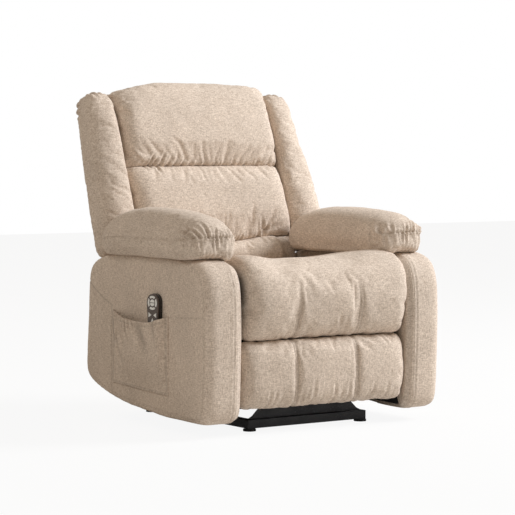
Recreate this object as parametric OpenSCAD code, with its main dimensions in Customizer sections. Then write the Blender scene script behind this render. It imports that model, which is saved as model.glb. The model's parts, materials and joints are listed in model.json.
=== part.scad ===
// Lift recliner chair: a steel lift base, a padded chassis with arms, a reclining back,
// a fold-out footrest and a wired handset in the side pocket.
// Millimetres, +Z up, the chair faces -Y. Left is -X. The origin is on the floor, centred.

/* [Chair] */
// Half of the width over the outer arm faces
arm_out = 420; // [415:1:424]
// Width of each arm pillow
pillow_w = 188; // [180:1:192]
// Half of the width of the seat, the footrest and the back cushions
seat_half = 289; // [284:1:290]
// Height of the arm tops under the pillows
arm_top = 508; // [506:1:509]

/* [Back] */
// Lean of the back from upright, in degrees
back_lean = 20; // [18:0.5:21]
// Length of the back above its reference point
back_len = 475; // [440:1:480]
// Half of the width over the wings at the arms
wing_out = 400; // [390:1:410]
// Half of the width over the wings at the top
wing_top_out = 372; // [360:1:385]

/* [Steel frame] */
// Width and height of the base tubes
tube = 25; // [20:1:25]
// Wall of the base tubes
tube_wall = 2; // [1.5:0.5:3]
// Thickness of the link bars
bar = 6; // [5:0.5:6]
// Radius of the link pivots
pin_r = 5; // [4:0.5:5]

/* [Handset] */
// Width of the handset
handset_w = 54; // [50:1:56]
// Length of the handset
handset_len = 150; // [140:1:155]
// Thickness of the handset
handset_t = 17; // [16:0.5:17]

/* [Hidden] */

// How far the chair stands off its own middle plane, because the handset side is the wider one
centre_x = 10;

$fn = 32;
fabric = "#c6b49c";
steel = "#17171a";
zinc = "#8f9296";
timber = "#c9a873";
plastic = "#202022";
pale = "#c9c6be";

// Pivots as [y, z] at rest
lift_pivot = [-118, 50];        // lower links on the base
lift_top = [232, 62];           // chassis on the lower links
upper_pivot = [-172, 76];       // upper links on the base
upper_top = [127, 111];         // upper links on the chassis, the opened pivot
lift_tail = [225, 60];          // lift motor on the base
lift_tip = [-102, 139];         // lift rod on the lever
thigh_pivot = [-250, 215];      // thigh links on the chassis
knee = [-205, 72];              // shin links on the thigh links
ankle = [-330, 200];            // footrest on the shin links
recline_tail = [150, 183];      // recline motor on the chassis
recline_eye = [-217.7, 183];    // middle of the recline rod's wide eye
recline_tip = [-217.7, 191.3];  // recline lever's pin in that eye
back_hinge = [227, 435];        // back on the arm frames

// Planes of the flat steel parts, each from the inner face outwards
upper_x = 199;
pivot_plate_x = 208;
lower_x = 216;
rail_x = 190;
board_bracket_x = 230;
shin_x = 238;
thigh_x = 246;
chassis_plate_x = 254;
seat_rail_x = 260;
arm_frame_x = 300;
arm_pad_x = 316;
bracket_x = 292;
bracket_t = 5;

link_w = 26;
run = 0.05;                      // running clearance of a pin in its bore
lift_x = -75;                    // plane of the lift motor
recline_x = 80;                  // plane of the recline motor
lever_gap = 13;                  // half of the gap between lever plates
lever_t = 5;
open_pin_r = 4;
lift_eye_r = 12;
recline_eye_r = 13;
foot_h = 8;
foot_y = [-310, 236];
base_front = -322;
base_rear = 268;
tube_r = 12.5;
drive_r = 9;
eye_rim = 3.5;
seat_bottom = 338;
rail_top = 330;
rail_bottom = 262;
webbing_t = 3;

// ---------------------------------------------------------------- shared forms

// Bar between two [y, z] points with round ends, w wide, from x0 to x0 + t
module flat_bar(a, b, w, x0, t) {
    d = b - a;
    translate([x0, a[0], a[1]]) rotate([atan2(d[1], d[0]), 0, 0]) {
        translate([0, 0, -w / 2]) cube([t, norm(d), w]);
        rotate([0, 90, 0]) cylinder(r = w / 2, h = t);
        translate([0, norm(d), 0]) rotate([0, 90, 0]) cylinder(r = w / 2, h = t);
    }
}

// Cylinder along X at a [y, z] point
module rod_x(p, r, x0, x1) {
    translate([x0, p[0], p[1]]) rotate([0, 90, 0]) cylinder(r = r, h = x1 - x0);
}

// Plate across X from an outline of [y, z] points
module plate_x(outline, x0, t) {
    translate([x0, 0, 0]) rotate([90, 0, 90]) linear_extrude(t) polygon(outline);
}

// Left-hand copy of a right-hand part
module left() { mirror([1, 0, 0]) children(); }

// Closed Catmull-Rom curve through points, with `steps` points on each stretch
function curve_point(a, b, c, d, t) =
    0.5 * ((2 * b) + (c - a) * t + (2 * a - 5 * b + 4 * c - d) * t * t + (3 * b - a - 3 * c + d) * t * t * t);
function closed_curve(p, steps) = [
    for (i = [0 : len(p) - 1]) for (k = [0 : steps - 1])
        curve_point(p[(i + len(p) - 1) % len(p)], p[i], p[(i + 1) % len(p)], p[(i + 2) % len(p)], k / steps)];

// Outline moved inwards by d, for an outline that runs anticlockwise
function inset(p, d) = [
    for (i = [0 : len(p) - 1])
        let (t = p[(i + 1) % len(p)] - p[(i + len(p) - 1) % len(p)])
        p[i] + d * [-t[1], t[0]] / norm(t)];

// Solid through rings of equal length, closed by a fan at each end
module loft(rings) {
    n = len(rings[0]);
    m = len(rings);
    points = concat([for (r = rings) for (p = r) p], [mean(rings[0]), mean(rings[m - 1])]);
    sides = [for (j = [0 : m - 2]) for (i = [0 : n - 1])
        let (a = j * n + i, b = j * n + (i + 1) % n)
        each [[a, b, b + n], [a, b + n, a + n]]];
    caps = [for (i = [0 : n - 1]) each [
        [m * n, (i + 1) % n, i],
        [m * n + 1, (m - 1) * n + i, (m - 1) * n + (i + 1) % n]]];
    polyhedron(points = points, faces = concat(sides, caps), convexity = 6);
}
function mean(p) = [for (k = [0 : 2]) sum([for (q = p) q[k]]) / len(p)];
function sum(v, i = 0) = i < len(v) ? v[i] + sum(v, i + 1) : 0;

// Outline drawn in by d towards its middle
function shrink(p, d) = let (c = [sum([for (q = p) q[0]]), sum([for (q = p) q[1]])] / len(p))
    [for (q = p) q + d * (c - q) / norm(c - q)];

// Ring of a cushion at x: its [y, z] outline drawn in by d, with the points above `from` lowered,
// by `drop` at `top`, to give the crown
function cushion_ring(outline, x, d, drop, from, top) = let (ring = shrink(outline, d)) [
    for (i = [len(ring) - 1 : -1 : 0]) let (p = ring[i])
        [x, p[0], p[1] - drop * max(0, min(1, (p[1] - from) / (top - from)))]];

// ---------------------------------------------------------------- base

module base_rail_right() color(steel) {
    translate([rail_x, base_front, foot_h]) hollow_tube_y(base_rear - base_front);
    difference() {
        plate_x([[-200, foot_h + tube], [-90, foot_h + tube], [-98, 66], [-150, 96], [-190, 96], [-200, 80]],
            pivot_plate_x, bar);
        rod_x(lift_pivot, tube_r + run, pivot_plate_x - 1, pivot_plate_x + bar + 1);
    }
    rod_x(upper_pivot, pin_r, upper_x - 3, pivot_plate_x + bar / 2);
}
module base_rail_left() left() base_rail_right();

// Square tube along Y with an open bore
module hollow_tube_y(length) {
    difference() {
        cube([tube, length, tube]);
        translate([tube_wall, tube, tube_wall])
            cube([tube - 2 * tube_wall, length - 2 * tube, tube - 2 * tube_wall]);
    }
}

module base_front_tube() color(steel)
    translate([-rail_x, base_front, foot_h]) cube([2 * rail_x, tube, tube]);

module base_rear_tube() color(steel) {
    translate([-rail_x, base_rear - tube, foot_h]) cube([2 * rail_x, tube, tube]);
    for (side = [-1, 1])
        difference() {
            plate_x([[207, 42], [243, 20], [base_rear, 20], [base_rear, 40], [245, 78], [210, 78]],
                lift_x + side * 24 - lever_t / 2, lever_t);
            rod_x(lift_tail, pin_r + run, lift_x + side * 24 - lever_t, lift_x + side * 24 + lever_t);
        }
}

module levelling_feet() color(steel)
    for (x = [-1, 1], y = foot_y) translate([x * (rail_x + tube / 2), y, 0]) {
        cylinder(r = 19, h = 6);
        cylinder(r = 13, h = foot_h);
    }

module power_supply() color(plastic) difference() {
    translate([70, 143, 10]) cube([105, 100, 45]);
    translate([112, 233, 38]) cube([18, 12, 10]);
    for (i = [0 : 7]) translate([80 + 11 * i, 160, 53]) cube([5, 60, 3]);
}

// ---------------------------------------------------------------- lift linkage

module lift_link_right() color(steel) {
    difference() {
        flat_bar(lift_pivot, lift_top, link_w, lower_x, bar);
        rod_x(lift_pivot, tube_r - 4, lower_x - 1, lower_x + bar + 1);
    }
    rod_x(lift_top, pin_r, pivot_plate_x - 1, lower_x + bar / 2);
}
module lift_link_left() left() lift_link_right();

module lift_torque_tube() color(steel) {
    rod_x(lift_pivot, tube_r, -lower_x, lower_x);
    for (side = [-1, 1])
        flat_bar(lift_pivot, lift_tip, 24, lift_x + side * (lever_gap + lever_t / 2) - lever_t / 2, lever_t);
    rod_x(lift_tip, open_pin_r, lift_x - lever_gap - lever_t, lift_x + lever_gap + lever_t);
}

module upper_link_right() color(steel) difference() {
    flat_bar(upper_pivot, upper_top, link_w, upper_x, bar);
    rod_x(upper_pivot, pin_r + run, upper_x - 1, upper_x + bar + 1);
    rod_x(upper_top, 8, upper_x - 1, upper_x + bar + 1);
}
module upper_link_left() left() upper_link_right();

// ---------------------------------------------------------------- motors

// Actuator body along +Y from its tail eye: gearbox, motor and outer tube
module actuator_body(side) {
    difference() {
        union() {
            translate([-9, 0, 0]) rotate([0, 90, 0]) cylinder(r = 14, h = 18);
            translate([-9, 0, -14]) cube([18, 26, 28]);
            translate([-19, 24, -22]) cube([38, 66, 44]);
            rotate([-90, 0, 0]) translate([0, 0, 60]) cylinder(r = 17, h = 175);
            rotate([-90, 0, 0]) translate([0, 0, 80]) cylinder(r = 20, h = 24);
            translate([side * 43, 30, 0]) rotate([-90, 0, 0]) cylinder(r = 24, h = 120);
            translate([side * 43, 140, 0]) rotate([-90, 0, 0]) cylinder(r = 20, h = 16);
            translate([side > 0 ? 0 : -38, 36, -17]) cube([38, 46, 34]);
        }
        rotate([-90, 0, 0]) translate([0, 0, 96]) cylinder(r = 9 + run, h = 200);
    }
    rotate([0, 90, 0]) translate([0, 0, -27]) cylinder(r = pin_r, h = 54);
}

// Actuator rod along +Y, ending in a wide eye at length
module actuator_rod(length, eye_r) {
    difference() {
        union() {
            rotate([-90, 0, 0]) translate([0, 0, 102]) cylinder(r = 9, h = length - 102 - eye_r - 2);
            translate([-7, length, 0]) rotate([0, 90, 0]) cylinder(r = eye_r + eye_rim, h = 14);
        }
        translate([-10, length, 0]) rotate([0, 90, 0]) cylinder(r = eye_r, h = 20);
    }
}

// Places an actuator drawn along +Y at its tail, pointing at its tip
module along(tail, tip, x) {
    d = tip - tail;
    translate([x, tail[0], tail[1]]) rotate([atan2(d[1], d[0]), 0, 0]) children();
}

module lift_motor() color(plastic) along(lift_tail, lift_tip, lift_x) actuator_body(1);
module lift_motor_rod() color(zinc)
    along(lift_tail, lift_tip, lift_x) actuator_rod(norm(lift_tip - lift_tail), lift_eye_r);
module recline_motor() color(plastic) along(recline_tail, recline_eye, recline_x) actuator_body(-1);
module recline_motor_rod() color(zinc)
    along(recline_tail, recline_eye, recline_x) actuator_rod(norm(recline_eye - recline_tail), recline_eye_r);

// ---------------------------------------------------------------- chassis frame

module chassis_plate_right() color(steel) difference() {
    plate_x([[-290, 195], [-210, 190], [150, 190], [205, 215], [205, 318], [-290, 318]], chassis_plate_x, bar);
    rod_x(thigh_pivot, drive_r + run, chassis_plate_x - 1, chassis_plate_x + bar + 1);
}
module chassis_plate_left() left() chassis_plate_right();

module chassis_front_tube() color(steel) {
    rod_x([-180, 240], tube_r, -chassis_plate_x, chassis_plate_x);
    for (x = [-143, 138]) flat_bar([-180, 240], [-287, 50], 20, x, 5);
}

module chassis_rear_tube() color(steel) {
    rod_x([180, 225], tube_r, -chassis_plate_x, chassis_plate_x);
    for (side = [0, 1]) mirror([side, 0, 0]) {
        difference() {
            plate_x([[105, 100], [215, 42], [246, 50], [246, 76], [205, 160], [200, 236], [160, 236],
                [105, 125]], pivot_plate_x, bar);
            rod_x(lift_top, pin_r + run, pivot_plate_x - 1, pivot_plate_x + bar + 1);
        }
        rod_x(upper_top, pin_r, upper_x - 2, pivot_plate_x + bar / 2);
    }
    for (side = [-1, 1])
        difference() {
            flat_bar([180, 225], recline_tail, 28, recline_x + side * 24 - lever_t / 2, lever_t);
            rod_x(recline_tail, pin_r + run, recline_x + side * 24 - lever_t, recline_x + side * 24 + lever_t);
        }
}

module chassis_front_bar() color(steel) difference() {
    union() {
        translate([-150, -304, 36]) cube([300, 29, 24]);
        translate([0, -303, 0]) rotate([90, 0, 0]) linear_extrude(5)
            polygon([[-205, 34.5], [205, 34.5], [190, 42], [150, 80], [-150, 80], [-190, 42]]);
    }
    translate([-151, -300, 34]) cube([302, 21, 20]);
    for (x = [-143, 138]) flat_bar([-180, 240], [-287, 50], 21, x - 0.5, 6);
}

module seat_rail_right() color(timber)
    translate([seat_rail_x, -308, rail_bottom]) cube([arm_frame_x - seat_rail_x, 513, rail_top - rail_bottom]);
module seat_rail_left() left() seat_rail_right();
module seat_rail_front() color(timber)
    translate([-278, -324, 278]) cube([556, 16, rail_top - 281]);
module seat_rail_rear() color(timber)
    translate([-chassis_plate_x, 183, rail_bottom + 6])
        cube([2 * chassis_plate_x, 22, rail_top - rail_bottom - 6]);

module seat_webbing() color("#2c2a28")
    for (i = [0 : 5]) translate([-270, -282 + 82 * i, rail_top]) cube([540, 50, webbing_t]);

// ---------------------------------------------------------------- upholstery

arm_outline = closed_curve([
    [-300, arm_top - 1], [-345, 500], [-382, 481], [-405, 450], [-418, 408], [-423, 333], [-421, 240],
    [-418, 140], [-414, 72], [-400, 46], [-366, 38], [-240, 42], [-91, 52], [64, 68], [152, 87],
    [226, 112], [260, 136], [268, 165], [258, 265], [250, 356], [246, 431], [232, 465], [198, 486],
    [140, 502], [60, arm_top], [-120, arm_top]], 1);

seat_outline = closed_curve([
    [-333, 282], [-333, 322], [-322, seat_bottom], [-200, seat_bottom], [190, seat_bottom], [203, 352],
    [202, 392], [190, 406], [150, 426], [105, 443], [60, 455], [-60, 471], [-200, 486], [-300, 494],
    [-350, 496], [-386, 487], [-409, 467], [-420, 430], [-423, 385], [-417, 335], [-403, 296],
    [-384, 278], [-358, 274]], 1);

pad_outline = closed_curve([
    [-363, 84], [-363, 112], [-363, 170], [-363, 228], [-363, 256], [-380, 263], [-399, 258],
    [-412, 240], [-419, 200], [-420, 150], [-416, 104], [-405, 83], [-386, 77]], 2);

// Back outlines are [distance behind the front plane, distance along the back]
headrest_outline = closed_curve([
    [58, 192], [58, 216], [58, 320], [58, 440], [54, back_len - 10], [40, back_len], [22, back_len - 12],
    [6, back_len - 38], [-6, 392], [-13, 330], [-13, 270], [-7, 225], [8, 200], [32, 192]], 2);
lumbar_outline = closed_curve([
    [58, -44], [58, -20], [58, 70], [58, 160], [58, 185], [32, 185], [12, 177], [0, 150], [-7, 100],
    [-9, 40], [-3, -10], [10, -35], [30, -44]], 2);
lower_outline = closed_curve([
    [58, -138], [58, -128], [58, -62], [58, -51], [30, -51], [9, -62], [-4, -90], [-1, -126], [12, -140]], 2);
panel_outline = [[86, -148], [104, -148], [106, 200], [108, 430], [104, 456], [97, 463], [86, 460]];
rear_outline = [[238, 96], [249, 96], [251, 250], [250, 400], [246, 412], [238, 412]];

lower_half = 231;                // the lowest back cushion fits between the arm pillows
cushion_stations = [[0, 24], [3, 13], [10, 5], [26, 1], [60, 0], [150, 0]];
channel_x = 105;                 // sewn channels of the seat and the footrest
channel_w = 10;
channel_depth = 5;

// Cushion of a half width, crowned by `crown` where it is above `from`, with two sewn channels or none
module wide_cushion(outline, from, top, crown, channels = false, half_w = seat_half) {
    edge = [for (s = cushion_stations) [-half_w + s[0], s[1]]];
    channel = !channels ? [] :
        [[-channel_x - channel_w, 0], [-channel_x, channel_depth], [-channel_x + channel_w, 0]];
    half = concat(edge, channel);
    stations = concat(half, [[0, 0]], [for (i = [len(half) - 1 : -1 : 0]) [-half[i][0], half[i][1]]]);
    loft([for (s = stations) cushion_ring(outline, s[0], s[1], crown * pow(abs(s[0]) / half_w, 4), from, top)]);
}

module seat_cushion() color(fabric) wide_cushion(seat_outline, 400, 496, -6, true);
module footrest_pad() color(fabric) wide_cushion(pad_outline, 400, 500, 0, true);

// The back's own frame: y runs backwards from the front plane, z along the back
module on_back() translate([0, 164, 601]) rotate([-back_lean, 0, 0]) children();

module headrest_cushion() color(fabric) on_back() wide_cushion(headrest_outline, 400, back_len, 26);
module lumbar_cushion() color(fabric) on_back() wide_cushion(lumbar_outline, 400, 500, 0);
module lower_back_cushion() color(fabric) on_back() wide_cushion(lower_outline, 400, 500, 0, false, lower_half);

module back_board() color(timber) on_back()
    translate([-280, 62, -122]) cube([560, 22, 552]);

module back_panel() color(fabric) on_back() {
    stations = [[-288, 6], [-282, 1], [-240, 0], [240, 0], [282, 1], [288, 6]];
    loft([for (s = stations) cushion_ring(panel_outline, s[0], s[1], 18 * pow(abs(s[0]) / 288, 3), 380, 460)]);
}

// Wing: [along, outer x, front depth, scale] stations, a rounded box in plan
wing_stations = [
    [-85, 398, 30, 0.80], [-80, 399, 26, 0.93], [-60, 400, 18, 1], [-20, 400, 4, 1], [20, wing_out, -4, 1],
    [120, 393, -5, 1], [240, 384, -5, 1], [340, wing_top_out + 3, -3, 1], [390, wing_top_out, 4, 0.98],
    [418, wing_top_out - 3, 14, 0.92], [432, wing_top_out - 6, 26, 0.78], [438, wing_top_out - 10, 38, 0.5]];
wing_in = 293;
wing_rear = 102;

function wing_ring(s, more) = let (
    cx = (wing_in + s[1] + more) / 2, rx = (s[1] + more - wing_in) / 2 * s[3],
    cy = (s[2] + wing_rear) / 2, ry = (wing_rear - s[2]) / 2 * s[3])
    [for (i = [0 : 23]) let (a = -15 * i, c = cos(a), v = sin(a))
        [cx + rx * sign(c) * pow(abs(c), 0.55), cy + ry * sign(v) * pow(abs(v), 0.55), s[0]]];

module wing(more) color(fabric) on_back() loft([for (s = wing_stations) wing_ring(s, more)]);
module wing_right() wing(4);
module wing_left() left() wing(13);

module rear_panel() color(fabric)
    loft([for (s = [[-arm_frame_x, 0], [-240, 0], [240, 0], [arm_frame_x, 0]])
        cushion_ring(rear_outline, s[0], s[1], 0, 400, 500)]);

module back_brackets() color(steel)
    for (side = [0, 1]) mirror([side, 0, 0]) {
        on_back() {
            translate([280, 64, -120]) cube([bracket_x + bracket_t - 280, 18, 32]);
            translate([280, 64, -120]) cube([11, 18, 118]);
        }
        flat_bar(back_hinge, [205, 478], 26, bracket_x, bracket_t);
        rod_x(back_hinge, pin_r, bracket_x, arm_frame_x + 12);
    }

module arm_frame_right() color(timber) difference() {
    plate_x(inset(arm_outline, 12), arm_frame_x, arm_pad_x - arm_frame_x);
    rod_x(back_hinge, pin_r + run, arm_frame_x - 1, arm_pad_x + 1);
}
module arm_frame_left() left() arm_frame_right();

arm_stations = [
    [arm_pad_x, 4], [arm_pad_x + 6, 0], [arm_out - 22, 0], [arm_out - 10, 3], [arm_out - 3, 9], [arm_out, 18]];
module arm_right() color(fabric)
    loft([for (i = [len(arm_stations) - 1 : -1 : 0])
        let (s = arm_stations[i]) [for (p = inset(arm_outline, s[1])) [s[0], p[0], p[1]]]]);
module arm_left() left() arm_right();

// Arm pillow: section [x from the centre, height over the arm top], and [y, width, height] stations
pillow_section = closed_curve([
    [1, 58], [0.93, 90], [0.62, 122], [0.1, 137], [-0.45, 126], [-0.85, 92], [-1, 50], [-0.93, 8], [-0.72, -9],
    [-0.52, -7], [-0.42, 1], [0, 1], [0.56, 1], [0.78, -2], [0.9, 6], [0.98, 30]], 1);
pillow_stations = [
    [-368, 0.42, 0.32, 46], [-365, 0.60, 0.48, 30], [-356, 0.77, 0.62, 12], [-338, 0.88, 0.71, 3],
    [-300, 0.98, 0.81, 0], [-250, 1, 0.91, 0], [-200, 1, 0.97, 0], [-100, 1, 1, 0], [-8, 1, 1, 0],
    [60, 1, 0.95, 0], [110, 0.98, 0.87, 0], [136, 0.92, 0.74, 1], [150, 0.76, 0.54, 5], [156, 0.48, 0.3, 16]];
module arm_pillow(mid) color(fabric)
    loft([for (s = pillow_stations) [for (p = pillow_section)
        [mid + pillow_w / 2 * p[0] * s[1], s[0], arm_top + 3 + (p[1] - 1) * s[2] + s[3]]]]);
module arm_pillow_right() arm_pillow(331);
module arm_pillow_left() left() arm_pillow(358);

// Side pocket: a cloth sheet sewn to the arm at three edges, standing out round the handset
pocket_front = -216;
pocket_back = 100;
pocket_cloth = 2.5;
pocket_room = 26.5;
function pocket_low(y) = 116 + 0.04 * y;
function pocket_top(y) = 318 + (y + 125) * (y + 125) * (y < -125 ? 0.0025 : 0.00044);
function ease(t) = let (u = max(0, min(1, t))) u * u * (3 - 2 * u);
function pocket_swell(y, f) =
    pocket_room * ease((y - pocket_front) / 24) * ease((pocket_back - y) / 205) * ease(f * 1.9);
function pocket_point(i, j, n, m, out) = let (
    y = pocket_front + (pocket_back - pocket_front) * i / n,
    f = j / m,
    z = pocket_low(y) + (pocket_top(y) - pocket_low(y)) * f)
    [-arm_out - out - pocket_swell(y, f), y, z];
module side_pocket() color(fabric) {
    n = 26;
    m = 9;
    loft([for (i = [0 : n]) concat(
        [for (j = [0 : m]) pocket_point(i, j, n, m, 0)],
        [for (j = [m : -1 : 0]) pocket_point(i, j, n, m, pocket_cloth)])]);
}

// ---------------------------------------------------------------- footrest

module footrest_thigh_right() color(steel) {
    difference() {
        flat_bar(thigh_pivot, knee, link_w, thigh_x, bar);
        rod_x(thigh_pivot, drive_r - 3, thigh_x - 1, thigh_x + bar + 1);
    }
    rod_x(knee, pin_r, shin_x - 1, thigh_x + bar / 2);
}
module footrest_thigh_left() left() footrest_thigh_right();

module footrest_drive_tube() color(steel) {
    rod_x(thigh_pivot, drive_r, -thigh_x, thigh_x);
    for (side = [-1, 1]) {
        rod_x(thigh_pivot, drive_r, side > 0 ? thigh_x + bar : -thigh_x - bar - 10,
            side > 0 ? thigh_x + bar + 10 : -thigh_x - bar);
        flat_bar(thigh_pivot, recline_tip, 22, recline_x + side * (lever_gap + lever_t / 2) - lever_t / 2,
            lever_t);
    }
    rod_x(recline_tip, open_pin_r, recline_x - lever_gap - lever_t, recline_x + lever_gap + lever_t);
    rod_x(thigh_pivot, drive_r - 3, -thigh_x - bar - 5, thigh_x + bar + 5);
}

module footrest_shin_right() color(steel) {
    difference() {
        flat_bar(knee, ankle, link_w, shin_x, bar);
        rod_x(knee, pin_r + run, shin_x - 1, shin_x + bar + 1);
    }
    rod_x(ankle, pin_r, board_bracket_x - 1, shin_x + bar / 2);
}
module footrest_shin_left() left() footrest_shin_right();

module footrest_board() color(timber) {
    translate([-255, -361, 88]) cube([510, 12, 164]);
    for (side = [0, 1]) mirror([side, 0, 0])
        difference() {
            plate_x([[-350, 178], [-336, 178], [-318, 190], [-318, 210], [-336, 222], [-350, 222]],
                board_bracket_x, bar);
            rod_x(ankle, pin_r + run, board_bracket_x - 1, board_bracket_x + bar + 1);
        }
}

// ---------------------------------------------------------------- handset

handset_place = [-433.5, -158, 377];
handset_turn = 188;
face_t = 4;
button_proud = 1.2;
button_t = 3.8;
button_gap = 0.3;
ring_in = 14;
ring_out = 20.5;
half_r = 10;
handset_top_r = handset_w / 2;

// Handset frame: +X out of the face, Z along its length, origin at the ring's centre
module on_handset() translate(handset_place) rotate([0, 0, handset_turn]) children();

// Extrudes a [y, z] drawing from x0 by t
module press_x(x0, t) translate([x0, 0, 0]) rotate([90, 0, 90]) linear_extrude(t) children();

module handset_outline(grow) {
    circle(r = handset_top_r + grow, $fn = 64);
    low = handset_top_r - handset_len;
    polygon([
        [-handset_top_r - grow, 0], [-handset_top_r + 4 - grow, -60], [-handset_top_r + 5 - grow, low + 14],
        [-handset_top_r + 13, low], [handset_top_r - 13, low], [handset_top_r - 5 + grow, low + 14],
        [handset_top_r - 4 + grow, -60], [handset_top_r + grow, 0]]);
}

module arc_shape(mid, grow) intersection() {
    difference() {
        circle(r = ring_out + grow, $fn = 64);
        circle(r = ring_in - grow, $fn = 64);
    }
    rotate(mid) polygon([[4 - grow, 0], [30, 26 + grow], [30, 0], [30, -26 - grow]]);
}

module half_shape(up, grow) intersection() {
    circle(r = half_r + grow, $fn = 48);
    translate([-15, up > 0 ? 1 - grow : -16]) square([30, 15 + grow]);
}

// Triangle with its apex along +X of the drawing, turned by `turn`
module triangle_shape(at, turn, grow) translate(at) rotate(turn)
    polygon([[7 + 2 * grow, 0], [-5 - grow, 7 + 1.8 * grow], [-5 - grow, -7 - 1.8 * grow]]);

triangle_places = [[[-12, -36], 0], [[12, -36], 180], [[0, -52], 90]];
arc_turns = [90, 180, 270, 0];

module handset_shell() color(plastic) on_handset() {
    press_x(-handset_t / 2, handset_t - face_t - 3) handset_outline(0);
    press_x(handset_t / 2 - face_t - 3, 3) handset_outline(-1);
    translate([-1, 0, handset_top_r - handset_len - 6]) cylinder(r = 4, h = 10);
}

module handset_face() color("#4a3f36") on_handset() difference() {
    press_x(handset_t / 2 - face_t, face_t) handset_outline(-1);
    for (turn = arc_turns) press_x(0, 20) arc_shape(turn, button_gap);
    for (up = [-1, 1]) press_x(0, 20) half_shape(up, button_gap);
    for (t = triangle_places) press_x(0, 20) triangle_shape(t[0], t[1], button_gap);
}

button_back = handset_t / 2 + button_proud - button_t;
module arc_button(i) color(pale) on_handset() press_x(button_back, button_t) arc_shape(arc_turns[i], 0);
module half_button(up) color(pale) on_handset() press_x(button_back, button_t) half_shape(up, 0);
module triangle_button(i) color(pale) on_handset()
    press_x(button_back, button_t) triangle_shape(triangle_places[i][0], triangle_places[i][1], 0);

// ---------------------------------------------------------------- nodes

module placed() translate([centre_x, 0, 0]) children();

placed() base_rail_left();
placed() base_rail_right();
placed() base_front_tube();
placed() base_rear_tube();
placed() levelling_feet();
placed() power_supply();
placed() lift_link_left();
placed() lift_link_right();
placed() lift_torque_tube();
placed() upper_link_left();
placed() upper_link_right();
placed() lift_motor();
placed() lift_motor_rod();
placed() chassis_plate_left();
placed() chassis_plate_right();
placed() chassis_front_tube();
placed() chassis_rear_tube();
placed() chassis_front_bar();
placed() seat_rail_left();
placed() seat_rail_right();
placed() seat_rail_front();
placed() seat_rail_rear();
placed() seat_webbing();
placed() seat_cushion();
placed() arm_frame_left();
placed() arm_frame_right();
placed() arm_left();
placed() arm_right();
placed() arm_pillow_left();
placed() arm_pillow_right();
placed() side_pocket();
placed() back_board();
placed() back_panel();
placed() headrest_cushion();
placed() lumbar_cushion();
placed() lower_back_cushion();
placed() wing_left();
placed() wing_right();
placed() back_brackets();
placed() rear_panel();
placed() footrest_thigh_left();
placed() footrest_thigh_right();
placed() footrest_drive_tube();
placed() footrest_shin_left();
placed() footrest_shin_right();
placed() footrest_board();
placed() footrest_pad();
placed() recline_motor();
placed() recline_motor_rod();
placed() handset_shell();
placed() handset_face();
placed() arc_button(0);  // arc_button_top
placed() arc_button(1);  // arc_button_rear
placed() arc_button(2);  // arc_button_bottom
placed() arc_button(3);  // arc_button_front
placed() half_button(1);  // half_button_upper
placed() half_button(-1);  // half_button_lower
placed() triangle_button(0);  // triangle_button_front
placed() triangle_button(1);  // triangle_button_rear
placed() triangle_button(2);  // triangle_button_up
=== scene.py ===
"""Looks of a lift recliner chair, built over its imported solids.

Lengths are written in millimetres and turned to metres where a mesh is made.
The chair faces -Y, left is -X, and the floor is at z = 0.
"""
import json
import logging
import math
from abc import ABC, abstractmethod
from dataclasses import dataclass
from enum import Enum
from typing import Callable, Sequence

import bpy
import numpy as np
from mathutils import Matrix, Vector


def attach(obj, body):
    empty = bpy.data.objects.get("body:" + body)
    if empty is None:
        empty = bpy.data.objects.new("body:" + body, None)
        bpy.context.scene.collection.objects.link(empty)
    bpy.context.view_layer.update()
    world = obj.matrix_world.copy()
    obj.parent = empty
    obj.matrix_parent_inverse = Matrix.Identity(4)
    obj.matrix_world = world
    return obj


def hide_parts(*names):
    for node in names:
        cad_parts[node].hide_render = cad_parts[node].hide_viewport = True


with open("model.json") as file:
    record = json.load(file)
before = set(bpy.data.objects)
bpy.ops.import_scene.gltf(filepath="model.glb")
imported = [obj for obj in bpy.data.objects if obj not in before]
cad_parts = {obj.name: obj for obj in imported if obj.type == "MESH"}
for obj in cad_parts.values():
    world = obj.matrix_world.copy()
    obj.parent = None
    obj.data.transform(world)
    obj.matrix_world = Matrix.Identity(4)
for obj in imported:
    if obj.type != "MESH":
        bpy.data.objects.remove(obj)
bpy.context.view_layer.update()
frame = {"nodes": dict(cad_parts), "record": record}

LOG = logging.getLogger("recliner")
MM = 0.001
CENTRE = np.array([10.0, 0.0, 0.0])  # the chair's own middle plane, seen from the origin
BOARD = 58.0  # front of the back's board, behind the back's front plane
CLOTH_STEPS = 20  # steps of the cloth simulation
DARKEST = 1.6  # the most that a seam line or painted shade may darken the cloth
RING_POINTS = 72  # points round a wing
MIX_A, MIX_B, MIX_RESULT = 6, 7, 2  # colour sockets of the mix node
FLOOR_GLOW = 0.91  # how much of the floor the camera sees as plain white
Array = np.ndarray
Point = tuple[float, ...]
Pair = tuple[Array, Array]
Path = tuple[Point, ...]
Piece = bpy.types.Object
Socket = bpy.types.NodeSocket


# ------------------------------------------------------------------ curves and meshes


def chaikin(points: Array, rounds: int = 3, closed: bool = True) -> Array:
    """Rounds the corners of a line.

    Args:
        points: Corners of the line, one row each.
        rounds: How often each corner is cut.
        closed: Whether the line runs back to its start.

    Returns:
        The rounded line.
    """
    for _ in range(rounds):
        a, b = (points, np.roll(points, -1, axis=0)) if closed else (points[:-1], points[1:])
        cut = np.stack((0.75 * a + 0.25 * b, 0.25 * a + 0.75 * b), axis=1).reshape(-1, points.shape[-1])
        points = cut if closed else np.vstack((points[:1], cut, points[-1:]))
    return points


def run_of(points: Array) -> Array:
    """Gives the way along a line up to each of its points."""
    return np.concatenate(([0.0], np.cumsum(np.linalg.norm(np.diff(points, axis=0), axis=1))))


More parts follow.
